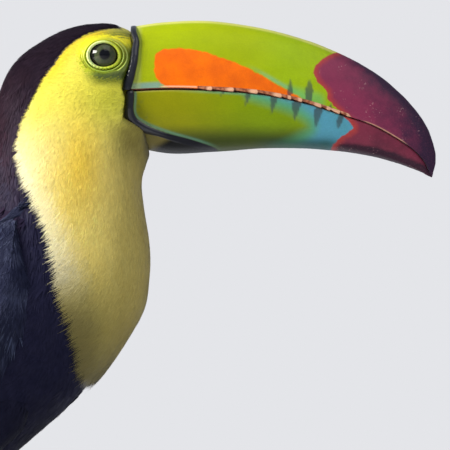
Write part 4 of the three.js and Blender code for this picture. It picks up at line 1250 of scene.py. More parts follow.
def scatter(surface, spans, density, tries, seed):
    """Roots spread evenly over a surface: three values grow by fixed steps and wrap round. Two place a
    root, and the third keeps it or not, so that density roots lie on a square millimetre."""
    (t_low, t_high), (low, high) = spans
    index = np.arange(tries) + 0.37 * seed
    t = t_low + (t_high - t_low) * (index * EVEN_STEPS[0] % 1)
    across = low + (high - low) * (index * EVEN_STEPS[1] % 1)
    area = np.linalg.norm(np.cross(*slopes(surface, t, across)), axis=1) * (t_high - t_low) * (high - low)
    kept = index * EVEN_STEPS[2] % 1 < density(t, across) * area / tries
    return t[kept], across[kept]


def barbs(surface, t, across, lie, length, width, sink, rise):
    """Barbs as flat tapered strips of three faces. Each sets out from its root in the direction lie,
    turned from the surface's length, and follows the surface for its length while its depth goes from
    sink to rise with the square of the way left. Comes with the surface's normals."""
    by_t, by_across = slopes(surface, t, across)
    reach_t = length * np.cos(lie) / np.linalg.norm(by_t, axis=1)
    reach_across = length * np.sin(lie) / np.maximum(np.linalg.norm(by_across, axis=1), 4)
    outward = surface(t, across, 0) - surface(t, across, 1)
    normal = np.cross(by_across, by_t)
    normal *= np.sign((normal * outward).sum(1))[:, None] / np.linalg.norm(normal, axis=1)[:, None]
    root, middle, tip = (
        surface(t + reach_t * way, across + reach_across * way, rise + (sink - rise) * (1 - way) ** 2)
        for way in (0.0, 0.5, 1.0)
    )
    sideways = np.cross(normal, tip - root)
    sideways *= (width / np.maximum(np.linalg.norm(sideways, axis=1), 1e-6) / 2)[:, None]
    foot = 0.7 * sideways
    points = np.stack([root - foot, root + foot, middle - sideways, middle + sideways, tip], 1)
    faces = np.array([[0, 2, 1], [1, 2, 3], [3, 2, 4]]) + 5 * np.arange(len(t))[:, None, None]
    return points, faces.reshape(-1, 3), normal


def tufted(surface, roots, count, fan, lie, length, width, sink, rise, colour, unwrap, seed, wild=0.12):
    """Tufts of count barbs: they start side by side at each root and fan out, the outer ones shorter,
    each a little astray by chance. Every tuft has its own shade by chance, and painted shade makes each
    barb darker at the root, a little paler at the tip. A value is one number for all the tufts or one
    for each."""
    chance = np.random.default_rng(seed)
    t, across = (np.repeat(values, count) for values in roots)
    tuft_count, total = len(roots[0]), len(t)
    share = np.tile(np.linspace(-1, 1, count), tuft_count)

    def each(values):
        """A value of the tufts as one for each barb."""
        return np.repeat(np.broadcast_to(values, tuft_count), count)

    def stray(spread, number=total):
        """Chance amounts, two in three of them within spread of 0."""
        return chance.normal(0, spread, number)

    by_t, by_across = slopes(surface, t, across)
    wide = each(length) * each(fan) * 0.35
    across = across + wide * (share + stray(0.3)) / np.maximum(np.linalg.norm(by_across, axis=1), 4)
    t = t + each(length) * stray(0.10) / np.linalg.norm(by_t, axis=1)
    turned_by = each(lie) + each(stray(wild, tuft_count)) + share * each(fan) + stray(wild * 0.6)
    long = each(length) * (1 - 0.22 * share ** 2) * np.clip(1 + stray(0.12), 0.6, 1.4)
    lifted = each(rise) + each(stray(0.07, tuft_count)) + np.abs(stray(0.08))
    broad = each(width) * np.clip(1 + stray(0.2), 0.5, 1.6)
    points, faces, normal = barbs(surface, t, across, turned_by, long, broad, each(sink), lifted)
    shade = each(np.clip(1 + stray(0.045, tuft_count), 0.85, 1.15)) * np.clip(1 + stray(0.04), 0.88, 1.12)
    # Painted shade: each barb is darker at its root, where the coat shades it, and a little paler at its tip.
    root_shade_by_way = np.array([0.88, 0.88, 1.0, 1.0, 1.04])
    tint = np.repeat(colour, count, axis=0)[:, None] * (shade[:, None] * root_shade_by_way)[..., None]
    tilt = each(stray(0.07, tuft_count))[:, None] + stray(0.05)[:, None]
    side = np.cross(normal, points[:, 4] - points[:, 0])
    leaning = normal + side / np.maximum(np.linalg.norm(side, axis=1), 1e-6)[:, None] * tilt
    normals = np.repeat(leaning / np.linalg.norm(leaning, axis=1)[:, None], 5, axis=0)
    patch = TUFT_PATCH * (np.stack([np.broadcast_to(share[:, None], (total, 5)),
                                    np.broadcast_to([-1.0, -1.0, 0.0, 0.0, 1.0], (total, 5))], -1) / 2)
    uv = np.repeat(unwrap, count, axis=0)[:, None] + patch
    return points.reshape(-1, 3), faces, np.clip(tint, 0, 1).reshape(-1, 3), uv.reshape(-1, 2), normals


def coat_piece(name, parts, material, replaced=()):
    """Puts the feathers gathered from parts into one piece. A part's last values are either normals,
    which keep tufts soft, or each point's place on its vane."""
    points, faces, tint, uv, last = gathered(parts)
    piece = build(name, points + GAPE, faces, material)
    dress(piece, tint, uv)
    if last.shape[1] == 3:
        piece.data.normals_split_custom_set_from_vertices(last)
    else:
        hold(piece, "on_vane", "FLOAT_VECTOR", np.pad(last, ((0, 0), (0, 1))))
    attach(piece, "root")
    if replaced:
        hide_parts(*replaced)


def bare_face(t, angle):
    """How bare the face is: 1 in the naked patch round the eye and before it, 0 in the feathers."""
    where = body_point(t, angle)
    return smooth(-off_face(where[..., 0], where[..., 2], FACE_ABOVE), -1.30, -0.80)


def feather_length(t, angle):
    """The length of the yellow feathers: 1.2 mm beside the bare face, and growing away from it."""
    where = body_point(t, angle)
    away = np.hypot(where[..., 0] + 13, where[..., 2] - 12)
    return 1.2 + 1.8 * smooth(away, 12, 27) + 4.4 * smooth(away, 24, 75)


def bib_lie(t, angle):
    """How far the yellow feathers turn back from the body's length, in radians: little in the bib's
    middle and more along its edge, save on the face."""
    edge = (1 - smooth(bib_depth(t, angle), 2, 20)) * smooth(t, 0.18, 0.34)
    return 0.14 * smooth(t, 0.1, 0.3) + 0.5 * edge, edge


def down_material(name, ways, size, most, darker, **settings):
    """Soft feather of each point's own tint, in faint clouds of size millimetres."""
    feather = new_material(name, **settings)
    cloud = noise(feather, place(feather, ways), size, 3.0)
    tint = point_value(feather, "tint", "Color")
    into_shader(feather, "Base Color", coats(feather, tint, [(cloud, 0.3, 0.7, most, darker, "MULTIPLY")]))
    return feather


yellow_feather = down_material(
    "yellow_feather", (1.0, 1.0, 0.4), 5.0, 0.2, (0.93, 0.86, 0.62),
    Roughness=0.62, Specular_IOR_Level=0.2, Sheen_Weight=0.18, Sheen_Roughness=0.5,
)


def yellow_tufts(spans, per_length, tries, count, seed):
    """Tufts of the bib between two values of t, per_length of them over a feather's length squared."""
    def density(t, angle):
        """Tufts to a square millimetre, none where another coat or bare skin is."""
        inside = bib_depth(t, angle)
        reach = feather_length(t, angle) * np.sin(bib_lie(t, angle)[0])
        kept = (inside > 0.5 + 1.15 * reach) & (behind_rim(body_point(t, angle)) > 0.3)
        return kept * (1 - bare_face(t, angle)) * per_length / feather_length(t, angle) ** 1.35

    roots = scatter(body_point, (spans, (-np.pi, np.pi)), density, tries, seed)
    t, angle = roots
    inside, length = bib_depth(t, angle), feather_length(t, angle)
    at = body_point(t, angle)
    waves = lumps(at * [1, 1, 0.5], 9.0, seed + 1)
    lie, edge = bib_lie(t, angle)
    lie = 0.09 * waves - np.sign(angle) * lie
    sink = np.minimum(skin_depth(t, angle) + 0.1, 0.3 + 0.15 * length)
    rise = 0.2 + 0.08 * lumps(at * [1, 1, 0.4], 9.0, seed + 2) - 0.5 * edge
    rise *= smooth(length, 1.5, 4)
    width = (0.11 + 0.038 * length) * (1 - 0.35 * edge)
    length = length * (1 + 0.35 * edge)
    colour = plumage(t, np.where(inside > 0.5, angle, angle + np.sign(angle) * 0.03))
    return tufted(body_point, roots, count, 0.16, lie, length, width, sink, rise, colour,
                  body_map(t, angle), seed)


coat_piece("bib_face", [yellow_tufts((0.0, 0.30), 13.6, 300000, 5, 101)], yellow_feather)
coat_piece("bib_throat", [yellow_tufts((0.30, 0.47), 20.0, 160000, 6, 102)], yellow_feather)
coat_piece("bib_breast", [yellow_tufts((0.47, 0.68), 24.0, 160000, 6, 103)], yellow_feather)

# ---- Black hood and back ----
# Hair-fine black feathers over the crown and nape, with a brown-red tinge in the light, and broader
# rounded ones on the back, flanks and belly. White ones cover the tail's root above and red ones below.
black_feather = down_material(
    "black_feather", (1.0, 1.0, 1.0), 6.0, 0.6, (0.7, 0.72, 0.85),
    Roughness=0.5, Specular_IOR_Level=0.085, Specular_Tint=(0.6, 0.7, 1.0),
)


def black_tufts(spans, density_at, length_at, tries, count, fan, width_share, seed, pick=None):
    """Tufts of the black coat between two values of t. pick keeps some of the places."""
    def density(t, angle):
        """Tufts to a square millimetre, none where another coat or bare skin is."""
        kept = bib_depth(t, angle) < -0.2
        return density_at * kept * (1 if pick is None else pick(t, angle))

    roots = scatter(body_point, (spans, (-np.pi, np.pi)), density, tries, seed)
    t, angle = roots
    at = body_point(t, angle)
    waves = lumps(at, 12.0, seed + 1)
    length = length_at(t, angle) * (1 + 0.1 * waves)
    sink = np.minimum(skin_depth(t, angle) + 0.15, 0.5 + 0.17 * length)
    beside_bib = 1 - smooth(-bib_depth(t, angle), 0, 9)
    rise = 0.3 + 0.2 * lumps(at, 6.0, seed + 2) + 0.8 * beside_bib * smooth(t, 0.1, 0.3)
    around = np.abs(angle)
    rise = np.minimum(rise, 0.8 * skin_depth(t, angle) - 0.2)
    rise -= 0.9 * smooth(-t, -0.4, -0.2) * smooth(-around, -0.8, -0.3)
    lie = 0.22 * waves - 0.1 * np.sign(angle) * smooth(-around, -1.6, -0.3)
    width = width_share * length
    return tufted(body_point, roots, count, fan, lie, length, width, sink, rise, plumage(t, angle),
                  body_map(t, angle), seed)


def hood_length(t, _):
    """The hood's feathers, 4.5 mm at the bill and longer down the nape."""
    return 4.5 + 5.0 * smooth(t, 0.03, 0.3)


def back_length(t, _):
    """The back's feathers, longer over the rump and longest over the tail's root."""
    return 9.5 + 4.0 * smooth(t, 0.4, 0.8) + 8.0 * smooth(t, 0.88, 0.97)


def upper_side(t, angle):
    """The back, save where the mantle covers it."""
    return (np.abs(angle) < 1.5) & ((t < 0.57) | (t > 0.80) | (np.abs(angle) > 1.1))


def under_side(_, angle):
    """The flanks' lower half and the belly."""
    return np.abs(angle) >= 1.5


hood = black_tufts((0.0, 0.44), 1.6, hood_length, 90000, 5, 0.13, 0.055, 201)
back = black_tufts((0.40, 1.0), 0.26, back_length, 120000, 9, 0.42, 0.105, 203, upper_side)
belly = black_tufts((0.40, 1.0), 0.26, back_length, 120000, 9, 0.42, 0.105, 205, under_side)
coat_piece("hood_feathers", [hood], black_feather)
coat_piece("back_feathers", [back], black_feather)
coat_piece("belly_feathers", [belly], black_feather)

# ---- Wings ----
# The folded wings: rows of rounded coverts like tiles over the shoulder, then long secondaries and the
# primaries' tips. Each feather is one thin vane, arched over its shaft, black with a blue-green gloss.
VANE_ROWS, VANE_COLUMNS = 12, 7
BARB_PITCH = 0.8  # millimetres along the shaft from one clump of barbs to the next
BARB_SLANT = 9.0  # clumps of barbs by which a whole vane's width slants forward
VANE_CROWDING = 2.3  # how much closer the rows of points lie towards a vane's tip


def wing_surface(t, share, depth):
    """The left wing's outer face, depth millimetres in. Past its upper edge it bends over the back, and
    before the bend and below its lower edge it sinks into the breast."""
    t, share, depth = alike(t, share, depth)
    past = np.maximum(share - 0.9, 0)
    kept = np.where(past > 0, 0.9 + 0.1 * np.tanh(past / 0.1), share)
    over = smooth(past, 0, 0.2)
    depth = depth + 8.0 * smooth(-t, -0.10, 0.10) + 5.0 * smooth(-share, -0.1, 0.25)
    points = wing_point(t, kept, depth * (1 - over) / (9 - 6 * np.clip(t, 0, 1)))
    points[..., 1] -= 26 * np.maximum(past - 0.08, 0)
    points[..., [0, 2]] -= WING_ACROSS * (over * depth)[..., None]
    return points


def beside_wing(t):
    """The body's t beside a wing's t."""
    return 0.535 + 0.49 * t


def mantle_surface(t, share, depth):
    """The scapulars' and mantle's surface on the left: from the back's middle line, share 0, to the wing's
    upper edge, 1, along t of the wing. It leaves the body's oval and rises to the wing's edge, the more
    the further back."""
    t, share, depth = alike(t, share, depth)
    body_t = beside_wing(t)
    edge = wing_surface(t, 0.97, 0)
    across = np.arcsin(np.clip(edge[..., 1] / spline(BODY_HALF_WIDTH, body_t), 0, 0.98))
    lift = edge - body_point(body_t, across)
    risen = smooth(share, 0.0, 1.1) * smooth(t, -0.12, 0.10)
    return body_point(body_t, across * share, depth) + lift * risen[..., None]


def vanes(surface, t, across, lie, length, width, lift, arch, blunt, seed):
    """Feathers as closed thin vanes over a surface. Each runs from its root in the direction lie for
    its length; its half-width grows fast, holds, and closes in a round tip, the blunter the higher
    blunt is. It bulges by arch across, and lifts from the surface towards the tip. Returns the points,
    faces, each point's place on its vane (across and along, 0 to 1) and its feather's number."""
    chance = np.random.default_rng(seed)
    along = (1 - (1 - np.linspace(0, 1, VANE_ROWS)) ** VANE_CROWDING)[None, :, None]
    over = np.linspace(-1, 1, VANE_COLUMNS)[None, None, :]
    by_t, by_across = slopes(surface, t, across)

    def spread(values):
        """One number a feather, along the first of three axes."""
        return np.reshape(np.broadcast_to(values, t.shape), (-1, 1, 1))

    closing = np.clip(1 - along ** spread(blunt), 0, 1) ** 0.5
    half_width = spread(width) / 2 * np.minimum(1, 0.45 + 2.2 * along) * closing
    ahead, aside = spread(length) * along, half_width * over
    run, turn_aside = np.cos(spread(lie)), np.sin(spread(lie))
    per_t, per_across = (spread(np.linalg.norm(by, axis=1)) for by in (by_t, by_across))
    flat_t = spread(t) + (ahead * run - aside * turn_aside) / per_t
    flat_across = spread(across) + (ahead * turn_aside + aside * run) / per_across
    edge = over * 0 + np.abs(over)
    wave = 0.10 * np.sin(9 * along + spread(chance.uniform(0, 6, len(t)))) * edge
    height = spread(lift) * along ** 0.8 + spread(arch) * (1 - over ** 2) * (1 - 0.4 * along) + wave
    height = height + 0.16 * bell(over, 0, 0.12) * (1 - along)
    top = surface(flat_t, flat_across, 1.2 - height)
    under = surface(flat_t, flat_across, 1.2 - height + 0.22 * (1 - 0.8 * edge))
    loop = np.concatenate([top, under[:, :, ::-1]], axis=2)
    rows, columns = loop.shape[1:3]
    count = len(t)
    sheet = joined_grid(rows, columns)
    column = np.arange(VANE_COLUMNS - 1)
    first = np.stack([column, column + 1, columns - 2 - column, columns - 1 - column], -1)
    last = first[:, ::-1] + (rows - 1) * columns
    one = np.concatenate([sheet, first[:, ::-1], last[:, ::-1]])
    if volume(loop[0].reshape(-1, 3), one) < 0:
        one = one[:, ::-1]
    faces = (one + (rows * columns) * np.arange(count)[:, None, None]).reshape(-1, 4)
    place_across = np.concatenate([over, over[..., ::-1]], axis=2) / 2 + 0.5 + 0 * along
    place_along = along + 0 * place_across
    on_vane = np.broadcast_to(np.stack([place_across, place_along], -1), (count, rows, columns, 2))
    number = np.repeat(np.arange(count), rows * columns)
    return loop.reshape(-1, 3), faces, on_vane.reshape(-1, 2), number


def vane_material(name, dark, pale, gloss):
    """A feather's vane: fine barbs slant from the shaft to both edges, the shaft is paler horn, and the
    edges are a little worn and brown. It reads how far across, from 0 to 1, and how many millimetres
    along its vane a place lies."""
    vane = new_material(name, Roughness=0.45, Specular_IOR_Level=0.2, Specular_Tint=(0.6, 0.72, 1.0))
    on_vane = point_value(vane, "on_vane", "Vector")
    across, along, _ = node(vane, "ShaderNodeSeparateXYZ", [(0, on_vane)]).outputs
    off_shaft = reckon(vane, "ABSOLUTE", reckon(vane, "SUBTRACT", across, 0.5))
    slant = reckon(vane, "MULTIPLY", off_shaft, -BARB_SLANT)
    slanted = reckon(vane, "MULTIPLY_ADD", along, 1 / BARB_PITCH, slant)
    barbing = step(vane, reckon(vane, "SINE", reckon(vane, "MULTIPLY", slanted, 6.2832)), -1.0, 1.0)
    clouds = noise(vane, place(vane), 5.0, 4.0, 0.6)
    tint = point_value(vane, "tint", "Color")
    shade = blend(vane, step(vane, clouds, 0.3, 0.7), dark, pale)
    shade = blend(vane, 1.0, shade, tint, "MULTIPLY")
    shade = coats(vane, shade, [
        (barbing, 0.0, 1.0, 0.12, (0.3, 0.3, 0.35), "MULTIPLY"),
        (off_shaft, 0.40, 0.5, gloss, (0.24, 0.23, 0.26)),
    ])
    shade = blend(vane, step(vane, off_shaft, 0.03, 0.05, 0.5, 0.0), shade, linear(0.16, 0.14, 0.14))
    finish(vane, shade, bump(vane, barbing, 0.05))
    return vane


def shaded_vanes(made, long, unwrap, seed, low=0.75, high=1.15):
    """Adds to vanes a shade for each feather and their OFBake places, a small patch at each root, and
    turns the way along each vane into millimetres."""
    points, faces, on_vane, number = made
    shade = np.random.default_rng(seed).uniform(low, high, number.max() + 1)[number]
    uv = unwrap[number] + TUFT_PATCH * (on_vane - 0.5)
    in_millimetres = np.stack([on_vane[:, 0], on_vane[:, 1] * long[number]], -1)
    return points, faces, np.repeat(shade[:, None], 3, axis=1), uv, in_millimetres


# Each row of feathers: where its roots run (t, then share, from the first feather to the last), how
# many, their length and width, how far they lift, how blunt they are.
WING_ROWS = [
    ((0.56, 0.68), (0.06, 0.80), 9, (82, 50), (10, 10), 0.1, 7.0),  # primaries
    ((0.48, 0.42), (0.12, 0.62), 8, (66, 56), (13, 14), 0.4, 6.0),  # secondaries
    ((0.40, 0.30), (0.50, 0.80), 4, (62, 52), (14, 13), 0.8, 5.0),  # tertials
    ((0.33, 0.25), (0.06, 0.70), 14, (28, 30), (9, 10), 0.9, 4.0),  # greater coverts
    ((0.25, 0.18), (0.04, 0.78), 15, (18, 19), (7.5, 8.5), 1.1, 3.5),  # median coverts
]
wing_vane = vane_material("wing_vane", linear(0.09, 0.095, 0.145), linear(0.125, 0.14, 0.20), 0.3)
shoulder_spans = ((-0.09, 0.40), (-0.16, 1.12))


def shoulder_kept(t, share):
    """How many roots of the lesser coverts stay: fewer and fewer towards the median coverts."""
    return 0.42 * (1 - smooth(t + 0.05 * share, 0.24, 0.34))


def shoulder_tufts():
    """The lesser coverts over the left shoulder: soft tufts along the wing, grey-blue with a painted blue
    sheen that fades further back, and a few pale ones, partly worn and partly painted highlights.
    """
    roots = scatter(wing_surface, shoulder_spans, shoulder_kept, 30000, 340)
    t, share = roots
    chance = np.random.default_rng(341)
    at = wing_surface(t, share, 0)
    waves = lumps(at, 14.0, 342)
    length = 8.0 + 7.0 * smooth(t, 0.0, 0.25)
    # Painted sheen: this grey-blue, paler than the body's black, stands for the shoulder's blue sheen; it
    # fades further back along the wing.
    shade = tone(smooth(lumps(at, 9.0, 343), -0.2, 0.7), linear(0.17, 0.18, 0.26), linear(0.25, 0.265, 0.35))
    # A few pale ones: worn feathers, and painted highlights of the sheen as well.
    worn = chance.random(len(t)) < 0.05 * smooth(lumps(at, 11.0, 344), -0.1, 0.5)
    shade = np.where(worn[:, None], linear(0.32, 0.35, 0.44), shade)
    shade = shade * (1 - 0.35 * smooth(t, 0.10, 0.25))[:, None]
    unwrap = np.stack([0.03 + 0.10 * np.clip(share, 0, 1), 0.62 + 0.25 * t], -1)
    lie = 0.08 * waves - 0.12 * (share - 0.5)
    return tufted(wing_surface, roots, 8, 0.30, lie, length, 0.075 * length, 1.6, 0.1 + 0.15 * waves,
                  shade, unwrap, 345)


for name, side in SIDES:
    parts = []
    for number, (t_ends, share_ends, count, lengths, widths, lift, blunt) in enumerate(WING_ROWS):
        chance = np.random.default_rng(300 + number)
        way = np.linspace(0, 1, count)
        t, share, long, wide = (np.linspace(*ends, count) for ends in (t_ends, share_ends, lengths, widths))
        t = t + chance.normal(0, 0.006, count)
        lie = 0.05 - 0.06 * way
        made = vanes(wing_surface, t, share, lie, long, wide, lift + 0.2 * way, 0.9, blunt, 310 + number)
        unwrap = np.stack([0.03 + 0.10 * way, 0.75 + 0.04 * number + 0 * way], -1)
        parts.append(shaded_vanes(made, long, unwrap, 320 + number))
    if side < 0:
        parts = [mirrored(part) for part in parts]
    coat_piece(f"wing_feathers_{name}", parts, wing_vane, (f"wing_{name}",))
    soft = shoulder_tufts()
    if side < 0:
        soft = mirrored(soft)
    coat_piece(f"shoulder_feathers_{name}", [soft], black_feather)

# ---- Mantle ----
# The scapulars and mantle: broad soft feathers that run from the middle of the back over the wings'
# upper edges, so that the folded wings lie under them.


def mantle_kept(t, share):
    """How many roots of the mantle stay: few at its front, which has a wavy edge."""
    return 0.30 * smooth(t + 0.02 * np.cos(11 * share), -0.05, 0.05)


mantle_roots = scatter(mantle_surface, ((-0.06, 0.60), (0.02, 1.08)), mantle_kept, 12000, 351)
mantle_t, mantle_share = mantle_roots
mantle_at = mantle_surface(mantle_t, mantle_share, 0)
mantle_waves = lumps(mantle_at, 14.0, 352)
mantle_on_body = beside_wing(mantle_t), 0.9 * mantle_share
mantle_tone = painted(plumage(*mantle_on_body), [
    (0.35 * smooth(lumps(mantle_at, 10.0, 353), -0.3, 0.8), (0.15, 0.15, 0.21)),
])
mantle_left = tufted(mantle_surface, mantle_roots, 9, 0.36, 0.10 * mantle_waves + 0.05, 14.0, 1.2, 2.4,
                     0.2 + 0.2 * mantle_waves, mantle_tone, body_map(*mantle_on_body), 354)
coat_piece("mantle_feathers", [mantle_left, mirrored(mantle_left)], black_feather)

# ---- Tail ----
# Ten long black feathers with round tips, closed like a hand of cards: the middle pair lies on top, and
# each next one outwards lies under its neighbour and is a little shorter.
TAIL_ROOT, TAIL_TIP = np.array([-108.0, -172.0]), np.array([-181.0, -309.0])
TAIL_CAMBER = 4.0
TAIL_SPREAD = 24.0
TAIL_LENGTH = np.linalg.norm(TAIL_TIP - TAIL_ROOT)


def tail_surface(t, across, depth):
    """The tail's upper face, from its root to its tip, and across it in millimetres. It droops to both
    edges with the square of the way across."""
    t, across, depth = alike(t, across, depth)
    along = (TAIL_TIP - TAIL_ROOT) / TAIL_LENGTH
    down = TAIL_CAMBER * (across / TAIL_SPREAD) ** 2 - 1.6 + depth
    flat = TAIL_ROOT + (TAIL_TIP - TAIL_ROOT) * t[..., None]
    flat = flat + np.array([-along[1], along[0]]) * down[..., None]
    return from_side(flat, across)


tail_vane = vane_material("tail_vane", linear(0.07, 0.072, 0.105), linear(0.10, 0.11, 0.155), 0.15)
place_from_middle = np.array([4, 3, 2, 1, 0])
tail_parts = []
for side in (1, -1):
    root_across = side * (1.2 + 1.5 * place_from_middle)
    tip_across = side * (2.6 + 4.1 * place_from_middle)
    long = TAIL_LENGTH * 1.045 - 1.1 * place_from_middle ** 2
    lie = np.arctan2(tip_across - root_across, long)
    under = 1.3 - 0.8 * place_from_middle + (0.3 if side > 0 else 0)
    made = vanes(tail_surface, np.full(5, -0.04), root_across, lie, long, 12.5, under, 0.7, 16.0, 401 + side)
    unwrap = np.stack([0.5 + 0.01 * root_across, np.full(5, 0.993)], -1)
    tail_parts.append(shaded_vanes(made, long, unwrap, 403 + side, 0.8, 1.15))
coat_piece("tail_feathers", tail_parts, tail_vane, ("tail",))

# ---- Thighs ----
# Soft black feathers down the thighs to the heel, like short trousers.


def thigh_surface(t, angle, depth):
    """The left thigh: a tapered tube from the hip to the heel, depth millimetres in."""
    t, angle, depth = alike(t, angle, depth)
    ahead = (ANKLE - HIP) / np.linalg.norm(ANKLE - HIP)
    across = np.cross([0.0, 1.0, 0.0], ahead)
    across /= np.linalg.norm(across)
    up = np.cross(ahead, across)
    radius = thigh_radius(t) - depth - 4.0 * smooth(-t, -0.1, 0.3)
    spoke = across * np.cos(angle)[..., None] + up * np.sin(angle)[..., None]
    return HIP + (ANKLE - HIP) * t[..., None] + spoke * radius[..., None]


for name, side in SIDES:
    roots = scatter(thigh_surface, ((-0.3, 0.97), (-np.pi, np.pi)), lambda t, angle: 0.42, 9000, 411)
    colour = np.tile(linear(0.12, 0.118, 0.185), (len(roots[0]), 1))
    unwrap = np.stack([0.05 + 0.08 * roots[1] / np.pi, 0.55 + 0.1 * roots[0]], -1)
    part = tufted(thigh_surface, roots, 6, 0.22, 0.0, 8.5, 0.6, 2.4, 0.2, colour, unwrap, 412)
    if side < 0:
        part = mirrored(part)
    coat_piece(f"thigh_feathers_{name}", [part], black_feather)

# ---- Legs and feet ----
# Bare blue-grey shanks and toes, two forward and two back, closed round the branch. Plates of horny skin
# overlap down their fronts, soft pads lie below, and each toe ends in a strong dark curved claw.
FOOT = np.array([0.0, 19.0, 165.2])
SHANK_RADIUS = 3.6
PAD_LENGTH = 15.0
TOES = {  # where each starts and ends round the branch in degrees, how far it strays sideways, its radius
    "inner_front": (4, 88, -7, 3.3), "outer_front": (4, 112, 7, 3.5),
    "inner_back": (-6, -66, -6, 3.1), "outer_back": (-6, -100, 8, 3.4),
}
CLAW_LENGTH, CLAW_ARCH = 10.5, 2.2


def round_branch(turn, height, sideways, radius, around):
    """Rings of a toe or claw wound round the branch: turn goes round it from its top, height is above
    its bark, and each ring is a circle of that radius, from its top round."""
    radial = np.stack([np.sin(turn), 0 * turn, np.cos(turn)], -1)
    middles = PERCH_MIDDLE + radial * (PERCH_RADIUS + height)[:, None]
    middles = middles + np.stack([0 * turn, sideways, 0 * turn], -1)
    ring = radial[:, None] * np.cos(around)[:, None] + np.array([0, 1.0, 0]) * np.sin(around)[:, None]
    return middles[:, None] + ring * np.reshape(radius, (len(turn), -1, 1))


def scutes(along, around, pitch, rise):
    """Overlapping plates along the top of a toe: each swells slowly and ends in a small step."""
    plate = (along / pitch) % 1
    swell = (0.55 + 0.45 * plate) * smooth(-plate, -1.0, -0.86) * smooth(plate, 0, 0.12)
    top = smooth(np.cos(around), -0.1, 0.5)
    return rise * swell[:, None] * top[None, :], plate, top


scaled_skin = new_material("scaled_skin", Roughness=0.45, Specular_IOR_Level=0.4)
scute_grain = noise(scaled_skin, place(scaled_skin), 0.8, 3.0, 0.6)
scute_cloud = noise(scaled_skin, place(scaled_skin), 4.0, 3.0)
scute_tone = coats(scaled_skin, point_value(scaled_skin, "tint", "Color"), [
    (scute_cloud, 0.3, 0.7, 0.5, (0.72, 0.8, 0.85), "MULTIPLY"),
    (scute_grain, 0.3, 0.7, 0.35, (0.7, 0.7, 0.7), "MULTIPLY"),
])
finish(scaled_skin, scute_tone, bump(scaled_skin, scute_grain, 0.08))
claw_horn = new_material("claw_horn", Roughness=0.28, Specular_IOR_Level=0.5)
claw_way = noise(claw_horn, place(claw_horn, (1.0, 0.3, 1.0)), 1.2, 4.0, 0.6)
claw_tones = (linear(0.13, 0.13, 0.15), linear(0.26, 0.25, 0.26))
finish(claw_horn, blend(claw_horn, step(claw_horn, claw_way, 0.3, 0.7), *claw_tones),
       bump(claw_horn, claw_way, 0.04))


def leg_piece(name, rings, plate, top, material, replaced=""):
    """A piece of the leg from its rings, darker between its plates and paler below."""
    points, faces = closed(rings)
    piece = build(name, points, faces, material)
    seam = np.clip(1 - np.abs((plate + 0.5) % 1 - 0.5) / 0.14, 0, 1)[:, None] * top[None, :]
    worn = 0.45 * np.clip(plate, 0, 1)[:, None] * top[None, :]
    shade = painted((0.36, 0.52, 0.64), [
        (worn, (0.50, 0.64, 0.72)),
        (seam * 0.75, (0.16, 0.22, 0.29)),
        ((1 - top)[None, :] * 0.6 + 0 * seam, (0.45, 0.50, 0.52)),
    ])
    tint = np.concatenate([shade.reshape(-1, 3), shade[:1].mean(1), shade[-1:].mean(1)])
    share = np.linspace(0, 1, len(rings))[:, None] + 0 * top[None, :]
    uv = np.stack([share, np.linspace(0, 1, rings.shape[1])[None, :] + 0 * share], -1)
    dress(piece, tint, flat_values(uv))
    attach(piece, "root")
    if replaced:
        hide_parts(replaced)


RING_SIDES = 28
around = np.linspace(0, 2 * np.pi, RING_SIDES, endpoint=False)
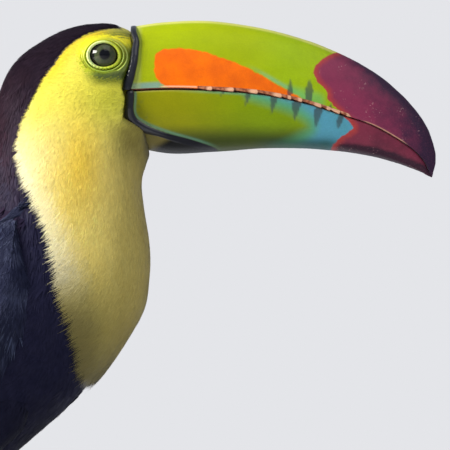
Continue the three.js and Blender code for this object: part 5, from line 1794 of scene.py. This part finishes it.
for name, side in SIDES:
    here = np.array([1, side, 1])
    ankle = (ANKLE + GAPE * [1, 0, 1]) * here
    foot = FOOT * here
    way = np.linspace(-0.1, 1.11, 110)
    middles = ankle + (foot - ankle) * (0.04 + 0.86 * way)[:, None]
    plain = SHANK_RADIUS - 0.7 * np.sin(np.pi * np.clip(way, 0, 1)) + 0.4 * way
    plain += 0.9 * smooth(way, 0.85, 1.08)
    facing = np.arctan2(np.sin(around + np.pi), np.cos(around + np.pi))
    relief, plate, top = scutes(way * 48, facing, 4.4, 0.35)
    radii = plain[:, None] * (1 + 0.05 * np.cos(2 * facing)) + relief
    pad_way = np.linspace(0.02, 0.98, 30)
    pad_middles = foot + np.stack([PAD_LENGTH * (0.5 - pad_way), 0 * pad_way, 0 * pad_way - 0.3], -1)
    pad_radii = 5.0 * np.sin(np.pi * pad_way) ** 0.6
    leg_piece(f"leg_{name}", tube(middles, radii, RING_SIDES), plate, top, scaled_skin,
              f"shank_{name}")
    leg_piece(f"foot_pad_{name}", tube(pad_middles, pad_radii, RING_SIDES), 0.5 + 0 * pad_way,
              0 * around + 0.3, scaled_skin)
    for toe, (start, end, stray, radius) in TOES.items():
        back = np.sign(end)
        way = np.linspace(0, 1, 96)
        turn = np.radians(start + (end - start) * way)
        sideways = side * (FOOT[1] + stray * (0.35 + 0.65 * way))
        plain = radius * (1 - 0.22 * way) * (1 + 0.07 * np.cos(6 * np.pi * way))
        arc = np.abs(turn) * (PERCH_RADIUS + radius)
        relief, plate, top = scutes(arc, around, 2.6, 0.28)
        pads = 0.35 * np.abs(np.sin(2.4 * np.pi * way))[:, None] * smooth(-np.cos(around), 0.2, 0.8)
        ends = np.sqrt(np.clip(1 - np.clip((np.abs(way - 0.5) - 0.47) / 0.031, 0, 1) ** 2, 0.1, 1))
        radii = (plain[:, None] + relief + pads) * ends[:, None]
        height = 0.9 * radius + 0 * way
        rings = round_branch(turn, height, sideways, radii, around)
        leg_piece(f"toe_skin_{toe}_{name}", rings, plate, top, scaled_skin,
                  f"toe_{toe}_{name}")
        way = np.linspace(-0.12, 1, 40)
        forward = np.clip(way, 0, 1)
        claw_turn = np.radians(end) + back * CLAW_LENGTH / (PERCH_RADIUS + radius) * way
        height = 0.9 * radius + CLAW_ARCH * np.sin(np.pi * forward) - 0.6 * way
        thick = 0.3 + 0.62 * radius * (1 - forward) ** 0.8
        narrow = np.stack([thick * (1 + 0.12 * np.cos(a)) for a in around], -1)
        rings = round_branch(claw_turn, height, np.full(40, sideways[-1]), narrow, around)
        leg_piece(f"claw_horn_{toe}_{name}", rings, np.zeros(len(way)), 0 * around, claw_horn,
                  f"claw_{toe}_{name}")
